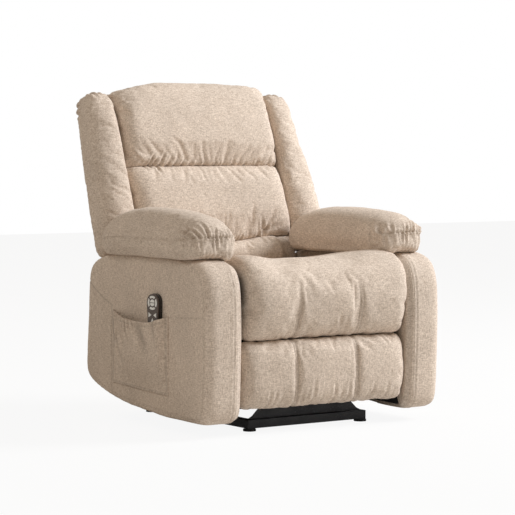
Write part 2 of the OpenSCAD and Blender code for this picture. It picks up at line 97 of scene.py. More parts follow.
def evenly(points: Array, count: int, closed: bool = True) -> Array:
    """Spreads points evenly along a line.

    Args:
        points: The line.
        count: How many points the result has.
        closed: Whether the line runs back to its start.

    Returns:
        The line with points at equal steps.
    """
    line = np.vstack((points, points[:1])) if closed else points
    run = run_of(line)
    steps = np.linspace(0.0, run[-1], count, endpoint=not closed)
    return np.stack([np.interp(steps, run, line[:, k]) for k in range(points.shape[1])], axis=1)


def inward_of(ahead: Array) -> Array:
    """Turns the directions along an outline to its inner side, with length 1."""
    inward = np.stack((-ahead[:, 1], ahead[:, 0]), axis=1)
    return inward / np.linalg.norm(inward, axis=1)[:, None]


def stations_of(stations: Sequence[Point], between: Array) -> list[list[float]]:
    """Fills up a table of stations.

    Args:
        stations: Place and sizes of each station.
        between: Places that get a station too.

    Returns:
        Place and sizes at each of them, in order.
    """
    table = np.array(stations)
    places = np.unique(np.concatenate((table[:, 0], between)))
    return [[s, *(float(np.interp(s, table[:, 0], column)) for column in table.T[1:])] for s in places]


def outline_of(corners: Sequence[Point], spacing: float, rounds: int) -> Array:
    """Makes a rounded outline with even steps from its corners.

    Args:
        corners: Corners of the outline, in order.
        spacing: Length of one step.
        rounds: How often the corners are cut.

    Returns:
        The outline, one row for each point.
    """
    smooth = chaikin(np.array(corners, float), rounds)
    length = np.linalg.norm(np.roll(smooth, -1, axis=0) - smooth, axis=1).sum()
    return evenly(smooth, max(24, int(length / spacing)))


def unit(values: Array | float) -> Array:
    """Limits values to 0 to 1."""
    return np.clip(values, 0.0, 1.0)


def ease(values: Array | float) -> Array:
    """Smooth step from 0 to 1 over the values 0 to 1."""
    t = unit(values)
    return t * t * (3.0 - 2.0 * t)


def wave_noise(points: Array, size: float, seed: int) -> Array:
    """Gives smooth seeded noise at points.

    Args:
        points: Places, one row each.
        size: Rough size of one bump, in the points' own unit.
        seed: Picks the pattern.

    Returns:
        One value from about -1 to 1 for each point.
    """
    rng = np.random.default_rng(seed)
    total = np.zeros(len(points))
    for _ in range(9):
        turn = rng.normal(size=points.shape[1])
        turn *= rng.uniform(0.6, 1.4) * 2.0 * math.pi / (size * np.linalg.norm(turn) * 2.0)
        total += np.sin(points @ turn + rng.uniform(0.0, 6.28))
    return total / 4.2


def to_metres(points: Array) -> Array:
    """Turns millimetres from the chair's middle plane into metres from the origin."""
    return (points + CENTRE) * MM


def to_millimetres(points: Array) -> Array:
    """Turns metres from the origin into millimetres from the chair's middle plane."""
    return points / MM - CENTRE


def make_mesh(name: str, points: Array, faces: list[list[int]]) -> Piece:
    """Makes a mesh object from points in millimetres.

    Args:
        name: Name of the object.
        points: Places of the vertices.
        faces: Vertex numbers of each face.

    Returns:
        The new object, in the scene.
    """
    mesh = bpy.data.meshes.new(name)
    mesh.from_pydata(to_metres(points).tolist(), [], faces)
    mesh.validate()
    piece = bpy.data.objects.new(name, mesh)
    bpy.context.scene.collection.objects.link(piece)
    return piece


def loft(name: str, rings: Array) -> Piece:
    """Skins a stack of closed rings and closes both ends.

    Args:
        name: Name of the object.
        rings: Array of ring, point, coordinate.

    Returns:
        The closed object.
    """
    count, size = rings.shape[:2]
    faces = [[j + i, j + (i + 1) % size, j + size + (i + 1) % size, j + size + i]
             for j in range(0, (count - 1) * size, size) for i in range(size)]
    faces.append(list(range(size))[::-1])
    faces.append([(count - 1) * size + i for i in range(size)])
    piece = make_mesh(name, rings.reshape(-1, 3), faces)
    recalc(piece)
    return piece


def select_only(piece: Piece) -> None:
    """Deselects everything, then selects and activates one object."""
    bpy.ops.object.select_all(action="DESELECT")
    piece.select_set(True)
    bpy.context.view_layer.objects.active = piece


def recalc(piece: Piece) -> None:
    """Points all faces of a closed object outwards."""
    select_only(piece)
    bpy.ops.object.mode_set(mode="EDIT")
    bpy.ops.mesh.select_all(action="SELECT")
    bpy.ops.mesh.normals_make_consistent(inside=False)
    bpy.ops.object.mode_set(mode="OBJECT")


def apply_modifier(piece: Piece, kind: str, **settings: object) -> None:
    """Adds a modifier and applies it.

    Args:
        piece: The object.
        kind: The modifier's type.
        settings: Its properties.
    """
    select_only(piece)
    modifier = piece.modifiers.new("work", kind)
    for key, value in settings.items():
        setattr(modifier, key, value)
    bpy.ops.object.modifier_apply(modifier=modifier.name)


def read_vectors(items: bpy.types.bpy_prop_collection, key: str) -> Array:
    """Reads one vector of each item of a mesh, such as its vertices' places."""
    flat = np.empty(len(items) * 3, np.float32)
    items.foreach_get(key, flat)
    return flat.reshape(-1, 3)


def read_points(piece: Piece) -> Array:
    """Reads an object's vertices in millimetres."""
    return to_millimetres(read_vectors(piece.data.vertices, "co").astype(float))


def read_normals(piece: Piece) -> Array:
    """Reads an object's vertex normals."""
    return read_vectors(piece.data.vertex_normals, "vector").astype(float)


def write_points(piece: Piece, points: Array) -> None:
    """Writes an object's vertices, given in millimetres."""
    piece.data.vertices.foreach_set("co", to_metres(points).astype(np.float32).ravel())
    piece.data.update()


def write_layer(piece: Piece, name: str, values: Array) -> None:
    """Keeps one number for each vertex under a name, for the finish to read."""
    layer = piece.data.attributes.new(name, "FLOAT", "POINT")
    layer.data.foreach_set("value", values.astype(np.float32))


# ------------------------------------------------------------------ sewing


class Taper(Enum):
    """How a crease fades along its path."""

    NONE = "none"
    END = "end"
    START = "start"
    BOTH = "both"


NONE, END, START, BOTH = Taper


@dataclass(frozen=True)
class Crease:
    """A fold, tuck or seam along a path on a cloth surface.

    Attributes:
        path: Points of the path, in the surface's own two coordinates.
        depth: How far the fold goes in. A negative depth stands out.
        width: Half width of the fold.
        taper: Where the fold fades out.
        lip: Height of the soft ridges beside it, as a share of the depth.
        dark: How much the finish darkens in it, from 0 to 1: painted shade in a fold's valley, and the dark
            line of a seam.
    """

    path: Path
    depth: float
    width: float
    taper: Taper = BOTH
    lip: float = 0.3
    dark: float = 0.0

    def near(self, flat: Array) -> Pair:
        """Finds each point's distance to the path.

        Args:
            flat: Points in the surface's two coordinates.

        Returns:
            The distance, and the share of the path's length at the nearest place.
        """
        corners = np.array(self.path, float)
        lengths, starts = np.linalg.norm(np.diff(corners, axis=0), axis=1), run_of(corners)
        best = np.full(len(flat), 1e9)
        share = np.zeros(len(flat))
        for k, length in enumerate(lengths):
            step = (corners[k + 1] - corners[k]) / max(length, 1e-6)
            along = np.clip((flat - corners[k]) @ step, 0.0, length)
            gap = np.linalg.norm(flat - corners[k] - along[:, None] * step, axis=1)
            closer = gap < best
            best[closer] = gap[closer]
            share[closer] = (starts[k] + along[closer]) / starts[-1]
        return best, share

    def press(self, flat: Array) -> Pair:
        """Works out the fold's effect on points.

        Args:
            flat: Points in the surface's two coordinates.

        Returns:
            How far each point moves outwards, and how dark it gets.
        """
        gap, share = self.near(flat)
        fade = np.ones(len(flat))
        if self.taper in (END, BOTH):
            fade *= ease((1.0 - share) / 0.75)
        if self.taper in (START, BOTH):
            fade *= ease(share / 0.75)
        valley = np.exp(-((gap / self.width) ** 2))
        ridge = np.exp(-(((gap - 2.1 * self.width) / (0.9 * self.width)) ** 2))
        # painted shade: the valley is darkened by dark, where a fold's own shadow would lie
        return self.depth * fade * (self.lip * ridge - valley), self.dark * fade * valley


def creases(rows: Sequence[tuple], *common: object) -> list[Crease]:
    """Makes creases from rows, where common stands in for a row without its own taper, lip and darkness."""
    return [Crease(*row[:3], *(row[3:] or common)) for row in rows]


def mirrored(rows: Sequence[tuple]) -> list[Crease]:
    """Makes creases from a table on the right of the middle, and again on the left."""
    return [crease for side in (1.0, -1.0)
            for crease in creases([(tuple((side * x, s) for x, s in path), *rest) for path, *rest in rows])]


def add_up(sewn: Sequence[Crease], flat: Array) -> Pair:
    """Adds up creases.

    Args:
        sewn: The creases.
        flat: Points in the surface's two coordinates.

    Returns:
        How far each point moves outwards, and how dark it gets.
    """
    move, dark = np.zeros(len(flat)), np.zeros(len(flat))
    for crease in sewn:
        out, shade = crease.press(flat)
        move += out
        dark = np.maximum(dark, shade)
    return move, dark


def gathers(start: Point, end: Point, turn: Point, count: int, reach: float, depth: float, width: float,
            seed: int) -> list[Crease]:
    """Makes a row of small folds that leave a seam, each a little different, with painted shade in their
    valleys.

    Args:
        start: First point of the seam, in the surface's two coordinates.
        end: Last point of the seam.
        turn: Direction in which the folds leave it.
        count: How many folds there are.
        reach: Mean length of a fold.
        depth: Mean depth of a fold.
        width: Mean half width of a fold.
        seed: Picks the pattern.

    Returns:
        The folds.
    """
    rng = np.random.default_rng(seed)
    a, b, way = np.array(start, float), np.array(end, float), np.array(turn, float)
    way /= np.linalg.norm(way)
    side = np.array([-way[1], way[0]])
    made = []
    for k in range(count):
        foot = a + (b - a) * ((k + 0.5 + rng.uniform(-0.3, 0.3)) / count)
        length = reach * rng.uniform(0.5, 1.5)
        tip = foot + way * length + side * length * rng.uniform(-0.22, 0.22)
        # dark 0.12 paints shade into each fold's valley
        made.append(Crease((tuple(foot), tuple(tip)), depth * rng.uniform(0.4, 1.5),
                           width * rng.uniform(0.7, 1.4), END, 0.5, 0.12))
    return made


@dataclass(frozen=True)
class Panel:
    """One face of a cushion, with what is sewn into it.

    Attributes:
        flatten: Turns points in millimetres into the face's own two coordinates.
        covers: Gives each point's share in this face, from its place and normal.
        creases: Folds and seams in the face.
    """

    flatten: Callable[[Array], Array]
    covers: Callable[[Array, Array], Array]
    creases: Sequence[Crease]

    def press(self, points: Array, normals: Array) -> Pair:
        """Adds up the face's folds.

        Args:
            points: Vertices in millimetres.
            normals: Their normals.

        Returns:
            How far each vertex moves outwards, and how dark it gets.
        """
        share = self.covers(points, normals)
        move, dark = add_up(self.creases, self.flatten(points))
        return move * share, dark * share


# ------------------------------------------------------------------ finishes


class Tree:
    """Short hand for building a node material."""

    def __init__(self, name: str) -> None:
        """Starts an empty material with that name."""
        self.material = bpy.data.materials.new(name)
        self.material.use_nodes = True
        self.nodes = self.material.node_tree.nodes
        self.links = self.material.node_tree.links
        self.shader = self.nodes["Principled BSDF"]
        self.place = self.nodes.new("ShaderNodeTexCoord").outputs["Object"]

    def link(self, source: Socket, target: Socket) -> None:
        """Joins two sockets."""
        self.links.new(source, target)

    def add(self, kind: str, wires: dict[str | int, object], **settings: object) -> bpy.types.Node:
        """Adds a node.

        Args:
            kind: Its type, without the word ShaderNode.
            wires: A socket or a value for each of its inputs.
            settings: Its properties.

        Returns:
            The node.
        """
        node = self.nodes.new(f"ShaderNode{kind}")
        for key, value in settings.items():
            setattr(node, key, value)
        for key, value in wires.items():
            if isinstance(value, Socket):
                self.link(value, node.inputs[key])
            else:
                node.inputs[key].default_value = value
        return node

    def noise(self, scale: Point, detail: float = 2.0, rough: float = 0.5) -> Socket:
        """Adds noise with so many bumps in a metre, on the piece's own coordinates."""
        place = self.add("Mapping", {"Scale": scale, "Vector": self.place}).outputs["Vector"]
        return self.add("TexNoise", {"Scale": 1.0, "Detail": detail, "Roughness": rough,
                                     "Vector": place}).outputs["Fac"]

    def ramp(self, value: Socket, low: float, high: float, first: float, last: float) -> Socket:
        """Maps a value from low and high to first and last."""
        return self.add("MapRange", {"From Min": low, "From Max": high, "To Min": first, "To Max": last,
                                     "Value": value}).outputs["Result"]

    def math(self, kind: str, a: Socket | float, b: Socket | float) -> Socket:
        """Adds a math node of that kind for two values or sockets."""
        return self.add("Math", {0: a, 1: b}, operation=kind).outputs[0]

    def blend(self, share: Socket, a: Point | Socket, b: Point | Socket, kind: str = "MIX") -> Socket:
        """Mixes a share of the colour b into a, in the way that kind names."""
        a, b = (value if isinstance(value, Socket) else (*value, 1.0) for value in (a, b))
        return self.add("Mix", {"Factor": share, MIX_A: a, MIX_B: b}, data_type="RGBA",
                        blend_type=kind).outputs[MIX_RESULT]

    def colour(self, share: Socket, a: Point, b: Point) -> None:
        """Drives the shader's colour by a share of b."""
        self.link(self.blend(share, a, b), self.shader.inputs["Base Color"])

    def roughness(self, value: Socket, low: float, high: float) -> None:
        """Drives the shader's roughness by a noise value."""
        self.link(self.ramp(value, 0.3, 0.7, low, high), self.shader.inputs["Roughness"])

    def bump(self, height: Socket, strength: float, depth: float) -> None:
        """Drives the shader's normal by a height, whose unit is depth metres."""
        node = self.add("Bump", {"Strength": strength, "Distance": depth, "Height": height})
        self.link(node.outputs["Normal"], self.shader.inputs["Normal"])

    def attribute(self, name: str) -> Socket:
        """Reads a number kept on the piece's vertices."""
        return self.add("Attribute", {}, attribute_name=name).outputs["Fac"]

    def set(self, **values: object) -> None:
        """Sets plain shader sockets, with spaces written as underscores."""
        for key, value in values.items():
            self.shader.inputs[key.replace("_", " ")].default_value = value


def linear(red: int, green: int, blue: int) -> Point:
    """Turns a display colour of 0 to 255 into linear values."""
    return tuple(((c / 255.0 + 0.055) / 1.055) ** 2.4 if c > 10 else c / 255.0 / 12.92
                 for c in (red, green, blue))


class Finish(ABC):
    """A surface finish that makes one node material."""

    @abstractmethod
    def make(self, name: str) -> bpy.types.Material:
        """Builds the material under a name."""


@dataclass(frozen=True)
class Chenille(Finish):
    """Heathered chenille cloth: crossed yarn streaks, flecks, a soft nap, and painted shade and highlight
    read from the seam layer.
    """

    light: Point = linear(241, 225, 209)
    dark: Point = linear(174, 154, 136)
    fleck: Point = linear(244, 232, 218)

    def make(self, name: str) -> bpy.types.Material:
        """Builds the material under a name."""
        t = Tree(name)
        weft = t.noise((75.0, 75.0, 480.0), 3.0, 0.6)
        warp = t.noise((480.0, 480.0, 75.0), 3.0, 0.6)
        cross = t.math("MULTIPLY", t.math("ADD", weft, warp), 0.5)
        mottle = t.noise((240.0, 240.0, 240.0), 3.0, 0.6)
        nap = t.noise((11.0, 11.0, 8.0), 3.0, 0.5)
        heather = t.math("ADD", t.math("MULTIPLY", cross, 0.66), t.math("MULTIPLY", mottle, 0.34))
        base = t.blend(t.ramp(heather, 0.37, 0.62, 0.0, 1.0), self.dark, self.light)
        speck = t.ramp(t.noise((620.0, 620.0, 620.0), 1.0), 0.60, 0.74, 0.0, 0.5)
        base = t.blend(speck, base, self.fleck)
        worn = t.ramp(nap, 0.3, 0.7, 0.93, 1.04)
        # painted shade: the seam layer darkens seam lines, fold valleys and gaps, and values below 0 paint a
        # highlight on ridges
        shade = t.math("MULTIPLY", worn, t.ramp(t.attribute("seam"), -1.0, 2.0, 1.5, 0.0))
        grey = t.add("CombineColor", {"Red": shade, "Green": shade, "Blue": shade})
        full = t.add("Value", {})
        full.outputs[0].default_value = 1.0
        shaded = t.blend(full.outputs[0], base, grey.outputs["Color"], "MULTIPLY")
        t.link(shaded, t.shader.inputs["Base Color"])
        t.roughness(mottle, 0.82, 0.98)
        height = t.math("ADD", cross, t.math("MULTIPLY", mottle, 0.5))
        t.bump(height, 0.5, 0.0012)
        t.set(Sheen_Weight=0.16, Sheen_Roughness=0.45, Sheen_Tint=(1.0, 0.95, 0.88, 1.0),
              Specular_IOR_Level=0.15)
        return t.material


@dataclass(frozen=True)
class Coating(Finish):
    """A hard coat on metal or plastic: fine grain, faint dust and rubbed patches."""

    colour: Point
    worn: Point
    rough: float = 0.5
    metal: float = 0.0
    coat: float = 0.0
    grain: float = 900.0
    bump_depth: float = 0.0003
    streak: Point = (1.0, 1.0, 1.0)

    def make(self, name: str) -> bpy.types.Material:
        """Builds the material under a name."""
        t = Tree(name)
        fine = t.noise(tuple(self.grain * s for s in self.streak), 2.0, 0.6)
        broad = t.noise((24.0, 24.0, 24.0), 4.0, 0.6)
        t.colour(t.ramp(broad, 0.42, 0.75, 0.0, 0.8), self.colour, self.worn)
        t.roughness(broad, self.rough * 0.85, min(1.0, self.rough * 1.2))
        t.bump(fine, 0.35, self.bump_depth)
        t.set(Metallic=self.metal, Coat_Weight=self.coat, Coat_Roughness=0.12)
        return t.material


@dataclass(frozen=True)
class Speckled(Finish):
    """Black hammered powder coat, with painted glints: lighter specks in its colour where the grain catches
    small points of light.
    """

    colour: Point = linear(22, 22, 25)
    painted_glint: Point = linear(88, 88, 96)

    def make(self, name: str) -> bpy.types.Material:
        """Builds the material under a name."""
        t = Tree(name)
        grain = t.noise((320.0, 320.0, 320.0), 2.0, 0.5)
        broad = t.noise((16.0, 16.0, 16.0), 3.0, 0.5)
        # painted glints: lighter specks in the colour where the grain would catch light
        painted_glint_mask = t.math("MULTIPLY", t.ramp(grain, 0.62, 0.72, 0.0, 1.0), t.ramp(broad, 0.40, 0.60, 0.15, 0.9))
        t.colour(painted_glint_mask, self.colour, self.painted_glint)
        t.roughness(broad, 0.42, 0.62)
        t.bump(grain, 0.6, 0.0009)
        t.set(Specular_IOR_Level=0.4)
        return t.material


@dataclass(frozen=True)
class Timber(Finish):
    """Plain sawn pale wood with long grain along Y."""

    early: Point = linear(205, 172, 122)
    late: Point = linear(166, 126, 80)

    def make(self, name: str) -> bpy.types.Material:
        """Builds the material under a name."""
        t = Tree(name)
        grain = t.noise((60.0, 7.0, 60.0), 5.0, 0.6)
        fibre = t.noise((420.0, 40.0, 420.0), 2.0, 0.5)
        t.colour(t.ramp(grain, 0.38, 0.62, 0.0, 1.0), self.early, self.late)
        t.roughness(fibre, 0.62, 0.85)
        t.bump(t.math("ADD", grain, fibre), 0.4, 0.0006)
        return t.material


@dataclass(frozen=True)
class Webbing(Finish):
    """Elastic webbing: dark ribs across the strap."""

    colour: Point = linear(48, 45, 42)
    rib: Point = linear(92, 86, 78)

    def make(self, name: str) -> bpy.types.Material:
        """Builds the material under a name."""
        t = Tree(name)
        ribs = t.noise((30.0, 700.0, 30.0), 1.0, 0.5)
        yarn = t.noise((500.0, 120.0, 500.0), 2.0, 0.5)
        t.colour(t.ramp(t.math("ADD", ribs, yarn), 0.8, 1.2, 0.0, 1.0), self.colour, self.rib)
        t.roughness(yarn, 0.7, 0.95)
        t.bump(ribs, 0.7, 0.0008)
        return t.material


class Shop:
    """Keeps one material for each slot, and dresses pieces with it."""

    FINISHES: dict[str, Finish] = {
        "chenille": Chenille(),
        "black_steel": Speckled(),
        "bright_steel": Coating(linear(196, 198, 202), linear(160, 161, 164), 0.28, 1.0,
                                streak=(1.0, 0.06, 1.0)),
        "motor_plastic": Coating(linear(34, 34, 36), linear(52, 52, 54), 0.55),
        "foot_rubber": Coating(linear(20, 20, 21), linear(40, 40, 41), 0.8, bump_depth=0.0006),
        "timber": Timber(),
        "webbing": Webbing(),
        "dust_cloth": Coating(linear(15, 14, 14), linear(26, 24, 23), 0.95, bump_depth=0.0005),
        "handset_black": Coating(linear(16, 16, 18), linear(30, 29, 30), 0.22, coat=0.6, bump_depth=0.00008),
        "handset_brown": Coating(linear(70, 58, 50), linear(86, 72, 62), 0.38, coat=0.3, bump_depth=0.0001),
        "button_pale": Coating(linear(240, 239, 235), linear(228, 227, 222), 0.35, coat=0.4,
                               bump_depth=0.0001),
    }

    def __init__(self) -> None:
        """Makes every material once."""
        self.materials = {slot: finish.make(f"{slot}_finish") for slot, finish in self.FINISHES.items()}

    def dress(self, piece: Piece, slot: str) -> None:
        """Gives a piece one finish all over.

        Args:
            piece: The object.
            slot: The record's material slot.
        """
        if not piece.material_slots:
            piece.data.materials.append(self.materials[slot])
        for place in piece.material_slots:
            place.material = self.materials[slot]


# ------------------------------------------------------------------ upholstery


@dataclass(frozen=True)
class BackFrame:
    """The back's own frame: across, distance behind the front plane, distance along the back."""

    lean: float = 20.0
    at: Point = (0.0, 164.0, 601.0)

    def world(self, points: Array) -> Array:
        """Turns points of this frame into the chair's frame."""
        c, s = math.cos(math.radians(self.lean)), math.sin(math.radians(self.lean))
        x, d, a = points[..., 0], points[..., 1], points[..., 2]
        return np.stack((x + self.at[0], d * c + a * s + self.at[1], -d * s + a * c + self.at[2]), axis=-1)

    def local(self, points: Array) -> Array:
        """Turns points of the chair's frame into this frame."""
        c, s = math.cos(math.radians(self.lean)), math.sin(math.radians(self.lean))
        v = points - np.array(self.at)
        return np.stack((v[..., 0], v[..., 1] * c - v[..., 2] * s, v[..., 1] * s + v[..., 2] * c), axis=-1)

    def turn(self, normals: Array) -> Array:
        """Turns normals of the chair's frame into this frame."""
        return self.local(normals + np.array(self.at))


BACK = BackFrame()


def flat_on(first: int, second: int, leaned: bool = False) -> Callable[[Array], Array]:
    """Gives what lays points flat on two axes of the chair, or of the leaned back."""
    return lambda points: (BACK.local(points) if leaned else points)[:, [first, second]]


def facing(axis: int, way: float, start: float, over: float = 0.5, leaned: bool = False,
           ahead: float = math.inf) -> Callable[[Array, Array], Array]:
    """Tells what belongs to a face by the way it looks.

    Args:
        axis: Axis that the face looks along.
        way: 1.0 if it looks up that axis, -1.0 if down.
        start: Part of the normal that way at which the face begins.
        over: How much further it is the face alone.
        leaned: Whether the axis is the back's own.
        ahead: The y value where the face ends.

    Returns:
        What gives each point's share in the face, from its place and normal.
    """
    def share(points: Array, normals: Array) -> Array:
        """Gives each point's share in the face."""
        turned = BACK.turn(normals) if leaned else normals
        return ease((way * turned[:, axis] - start) / over) * (points[:, 1] < ahead)

    return share


@dataclass
class Cushion(ABC):
    """A stuffed piece: a lofted shell that is blown up as cloth and then sewn.

    Attributes:
        node: CAD node that it stands for.
        body: CAD body that it rides on.
        fill: How tight it is stuffed. Not used.
        voxel: Mesh step before the last subdivision.
        puff: Pressure in the cloth.
        cap: Furthest that the pressure may push a point.
        grow: What the finished skin gains, against the smoothing.
    """

    node: str
    body: str
    fill: float = 0.7
    voxel: float = 7.0
    puff: float = 4.0
    cap: float = 8.0
    grow: float = 2.6

    @property
    def name(self) -> str:
        """Name of the piece."""
        return f"{self.node}_cover"

    @abstractmethod
    def rings(self) -> Array:
        """Gives the shell as rings of points in millimetres."""

    def panels(self) -> list[Panel]:
        """Gives the faces with their folds and seams."""
        return []

    def held(self, points: Array) -> Array:
        """Says how firmly each vertex is held while the cushion swells, from 0 to 1."""
        return np.zeros(len(points))

    def soften(self, points: Array, normals: Array) -> Array:
        """Gives broad, soft unevenness as a distance outwards."""
        return 1.2 * wave_noise(points, 90.0, len(self.name)) + 0.5 * wave_noise(points, 38.0, 7)

    def swell(self, piece: Piece) -> None:
        """Blows the shell up as cloth, holds how far a point moves, and leaves a plain mesh."""
        points = read_points(piece)
        group = piece.vertex_groups.new(name="held")
        for index, weight in enumerate(self.held(points)):
            if weight > 0.01:
                group.add([index], float(weight), "REPLACE")
        modifier = piece.modifiers.new("cloth", "CLOTH")
        cloth = modifier.settings
        cloth.quality = 4
        cloth.mass = 0.3
        cloth.tension_stiffness = cloth.compression_stiffness = 12.0
        cloth.shear_stiffness = 6.0
        cloth.bending_stiffness = 0.6
        cloth.use_pressure = True
        cloth.uniform_pressure_force = self.puff
        cloth.shrink_min = -0.03
        cloth.vertex_group_mass = "held"
        cloth.effector_weights.gravity = 0.0
        modifier.collision_settings.use_collision = False
        modifier.point_cache.frame_start, modifier.point_cache.frame_end = 1, CLOTH_STEPS
        for step in range(1, CLOTH_STEPS + 1):
            bpy.context.scene.frame_set(step)
        blown = piece.evaluated_get(bpy.context.evaluated_depsgraph_get())
        swollen = to_millimetres(read_vectors(blown.data.vertices, "co"))
        piece.modifiers.remove(modifier)
        bpy.context.scene.frame_set(1)
        move = swollen - points
        length = np.linalg.norm(move, axis=1, keepdims=True)
        write_points(piece, points + move * np.minimum(1.0, self.cap / np.maximum(length, 1e-6)))
        piece.vertex_groups.clear()

    def sew(self, piece: Piece) -> None:
        """Presses the folds and seams into the mesh and keeps how dark they are, as seam lines and painted
        shade in folds and gaps.
        """
        points, normals = read_points(piece), read_normals(piece)
        move, dark = self.grow + self.soften(points, normals), np.zeros(len(points))
        for panel in self.panels():
            out, shade = panel.press(points, normals)
            move += out
            dark = np.maximum(dark, shade)
        write_points(piece, points + normals * move[:, None])
        # the seam layer holds dark seam lines and painted shade in fold valleys and gaps
        write_layer(piece, "seam", np.clip(dark, 0.0, DARKEST))

    def build(self, shop: Shop) -> Piece:
        """Makes, dresses and places the piece.

        Args:
            shop: The finishes.

        Returns:
            The finished piece.
        """
        piece = loft(self.name, self.rings())
        coarser = 1.0
        apply_modifier(piece, "REMESH", mode="VOXEL", voxel_size=self.voxel * MM * coarser)
        if self.puff > 0.0:
            self.swell(piece)
        apply_modifier(piece, "SUBSURF", levels=1, render_levels=1)
        self.sew(piece)
        select_only(piece)
        bpy.ops.object.shade_smooth()
        shop.dress(piece, "chenille")
        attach(piece, self.body)
        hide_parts(self.node)
        LOG.info("%s: %d faces", self.name, len(piece.data.polygons))
        return piece


def across(half: float, round_width: float, spacing: float = 9.0) -> Array:
    """Gives stations across a cushion, close together at its rounded ends.

    Args:
        half: Half of the width.
        round_width: Width of the rounding at each end.
        spacing: Step between stations in the middle.

    Returns:
        The stations' x values, from -half to half.
    """
    turn = half - round_width * (1.0 - np.sin(np.linspace(math.pi / 2.0, 0.0, 7)))
    count = max(3, int((half - round_width) / spacing))
    middle = np.linspace(0.0, half - round_width, count, endpoint=False)
    right = np.concatenate((middle, turn[::-1]))
    return np.unique(np.round(np.concatenate((-right, right)), 3))


def end_round(x: Array | float, half: float, round_width: float) -> Array:
    """Gives how far a station is drawn in by the round end, as a share from 0 to 1."""
    t = unit((np.abs(x) - (half - round_width)) / round_width)
    return 1.0 - np.sqrt(np.maximum(0.0, 1.0 - t * t))


def quarter(share: float) -> float:
    """Gives how far a quarter circle has fallen at a share of its width."""
    return 1.0 - math.sqrt(max(0.0, 1.0 - share ** 2))


@dataclass
class Slab(Cushion):
    """A cushion whose outline, seen from the side, is carried across the chair.

    Attributes:
        half: Half of its width.
        middle: Where the middle of it lies.
        step: Step along the outline.
        rounds: How often the outline's corners are cut.
        corners: The outline, seen from the chair's side, or from the back's own.
    """

    half: float = 289.0
    middle: float = 0.0
    round_width: float = 60.0
    step: float = 6.0
    rounds: int = 2
    corners: Path = ()

    @abstractmethod
    def section(self, x: float, edge: float, outline: Array) -> Pair:
        """Gives the outline's two coordinates as shaped at a station, for the round end's share there."""

    def rings(self) -> Array:
        """Gives the shell as rings of points in millimetres."""
        outline = outline_of(self.corners, self.step, self.rounds)
        made = []
        for x in across(self.half, self.round_width):
            shaped = self.section(x, end_round(x, self.half, self.round_width), outline)
            ring = np.stack((np.full(len(outline), x + self.middle), *shaped), axis=1)
            made.append(BACK.world(ring) if self.body == "back" else ring)
        return np.array(made)

    def drawn_in(self, x: float, pull: float, outline: Array) -> Array:
        """Gives the depths at a station of the back, drawn to the board by a pull near the ends."""
        return BOARD - (BOARD - outline[:, 0]) * (1.0 - pull - 0.06 * (abs(x) / self.half) ** 4)


@dataclass
class SeatCushion(Slab):
    """The seat with its rolled front, two sewn lines and a lip that dips in the middle."""

    node: str = "seat_cushion"
    body: str = "chassis"
    half: float = 283.0
    middle: float = 11.0
    round_width: float = 34.0
    round_depth: float = 24.0
    step: float = 8.0
    seam_x: float = 108.0
    corners: Path = (
        (-333, 278), (-333, 300), (-333, 324), (-322, 339), (-200, 339), (0, 339), (190, 339), (202, 352),
        (202, 390), (190, 408), (150, 427), (105, 444), (60, 456), (-60, 472), (-200, 488), (-290, 498),
        (-335, 500), (-372, 496), (-402, 478), (-420, 448), (-427, 410), (-426, 370), (-417, 326),
        (-402, 288), (-384, 275), (-358, 272))

    def section(self, x: float, edge: float, outline: Array) -> Pair:
        """Draws the ends in, the left one further, and lifts the lip towards both sides."""
        inward = outline.mean(axis=0) - outline
        deep = self.round_depth * (1.5 if x < 0.0 else 0.7)
        drawn = outline + edge * deep * (inward / np.linalg.norm(inward, axis=1)[:, None])
        lift = unit((drawn[:, 1] - 400.0) / 96.0)
        rise = 16.0 * float(ease((x - 40.0) / 190.0)) + 12.0 * float(ease((-x - 130.0) / 110.0))
        return drawn[:, 0], drawn[:, 1] + (rise - 5.0) * lift

    def held(self, points: Array) -> Array:
        """Holds the underside and the two sewn lines."""
        x, y, z = points.T
        under = (z < 345.0) & (y > -335.0)
        sewn = (np.abs(np.abs(x) - self.seam_x) < 5.0) & (y < -300.0) & (z < 470.0)
        return np.where(under, 1.0, np.where(sewn, 0.7, 0.0))

    def panels(self) -> list[Panel]:
        """Gives the front with a folded seam, a double seam, soft drag lines and a painted shadow along the
        left end.
        """
        lines = creases((
            # the wide folds' dark values paint shade into their valleys
            (((-106, 268), (-104, 330), (-102, 380), (-105, 430), (-112, 478)), 3.2, 7.0, END, 0.25, 0.10),
            (((-104, 262), (-101, 330), (-98, 380), (-101, 430), (-108, 470)), 3.0, 3.0, END, 0.5, 0.34),
            (((-114, 262), (-111, 330), (-109, 380)), 1.2, 3.0, END, 0.4, 0.16),
            (((122, 262), (122, 380), (112, 450), (98, 492)), 1.8, 9.0, END, 0.2, 0.04),
            # painted shadow: a flat dark band down the seat's left end, for the shaded gap beside the left
            # arm
            (((-284, 270), (-284, 400), (-284, 484)), 0.0, 8.5, NONE, 0.0, DARKEST),
            *((((122 + off, 262), (121 + off, 380), (113 + off, 440), (98 + off, 488)),
               1.9, 2.6, END, 0.5, 0.28) for off in (-5.0, 5.0))))
        drags = creases((
            (((-84, 470), (-68, 430), (-60, 372)), 3.4, 8.0),
            (((-52, 478), (-26, 436), (-10, 386)), 2.2, 9.0),
            (((20, 340), (28, 286)), 3.0, 6.0), (((44, 352), (50, 288)), 3.4, 6.0),
            (((66, 340), (74, 282)), 3.0, 6.0), (((-220, 340), (-214, 280)), 2.2, 7.0),
            (((-70, 330), (-66, 282)), 2.2, 6.0), (((160, 370), (196, 322)), 2.0, 11.0),
            (((-150, 340), (-146, 284)), 1.8, 7.0), (((240, 330), (246, 286)), 1.8, 7.0)))
        drags += gathers((-270, 278), (270, 278), (0, 1), 30, 24.0, 1.1, 3.6, 11)
        return [Panel(flat_on(0, 2), facing(1, -1.0, -0.35, ahead=-230.0), lines),
                Panel(flat_on(0, 2), facing(1, -1.0, 0.1), drags)]


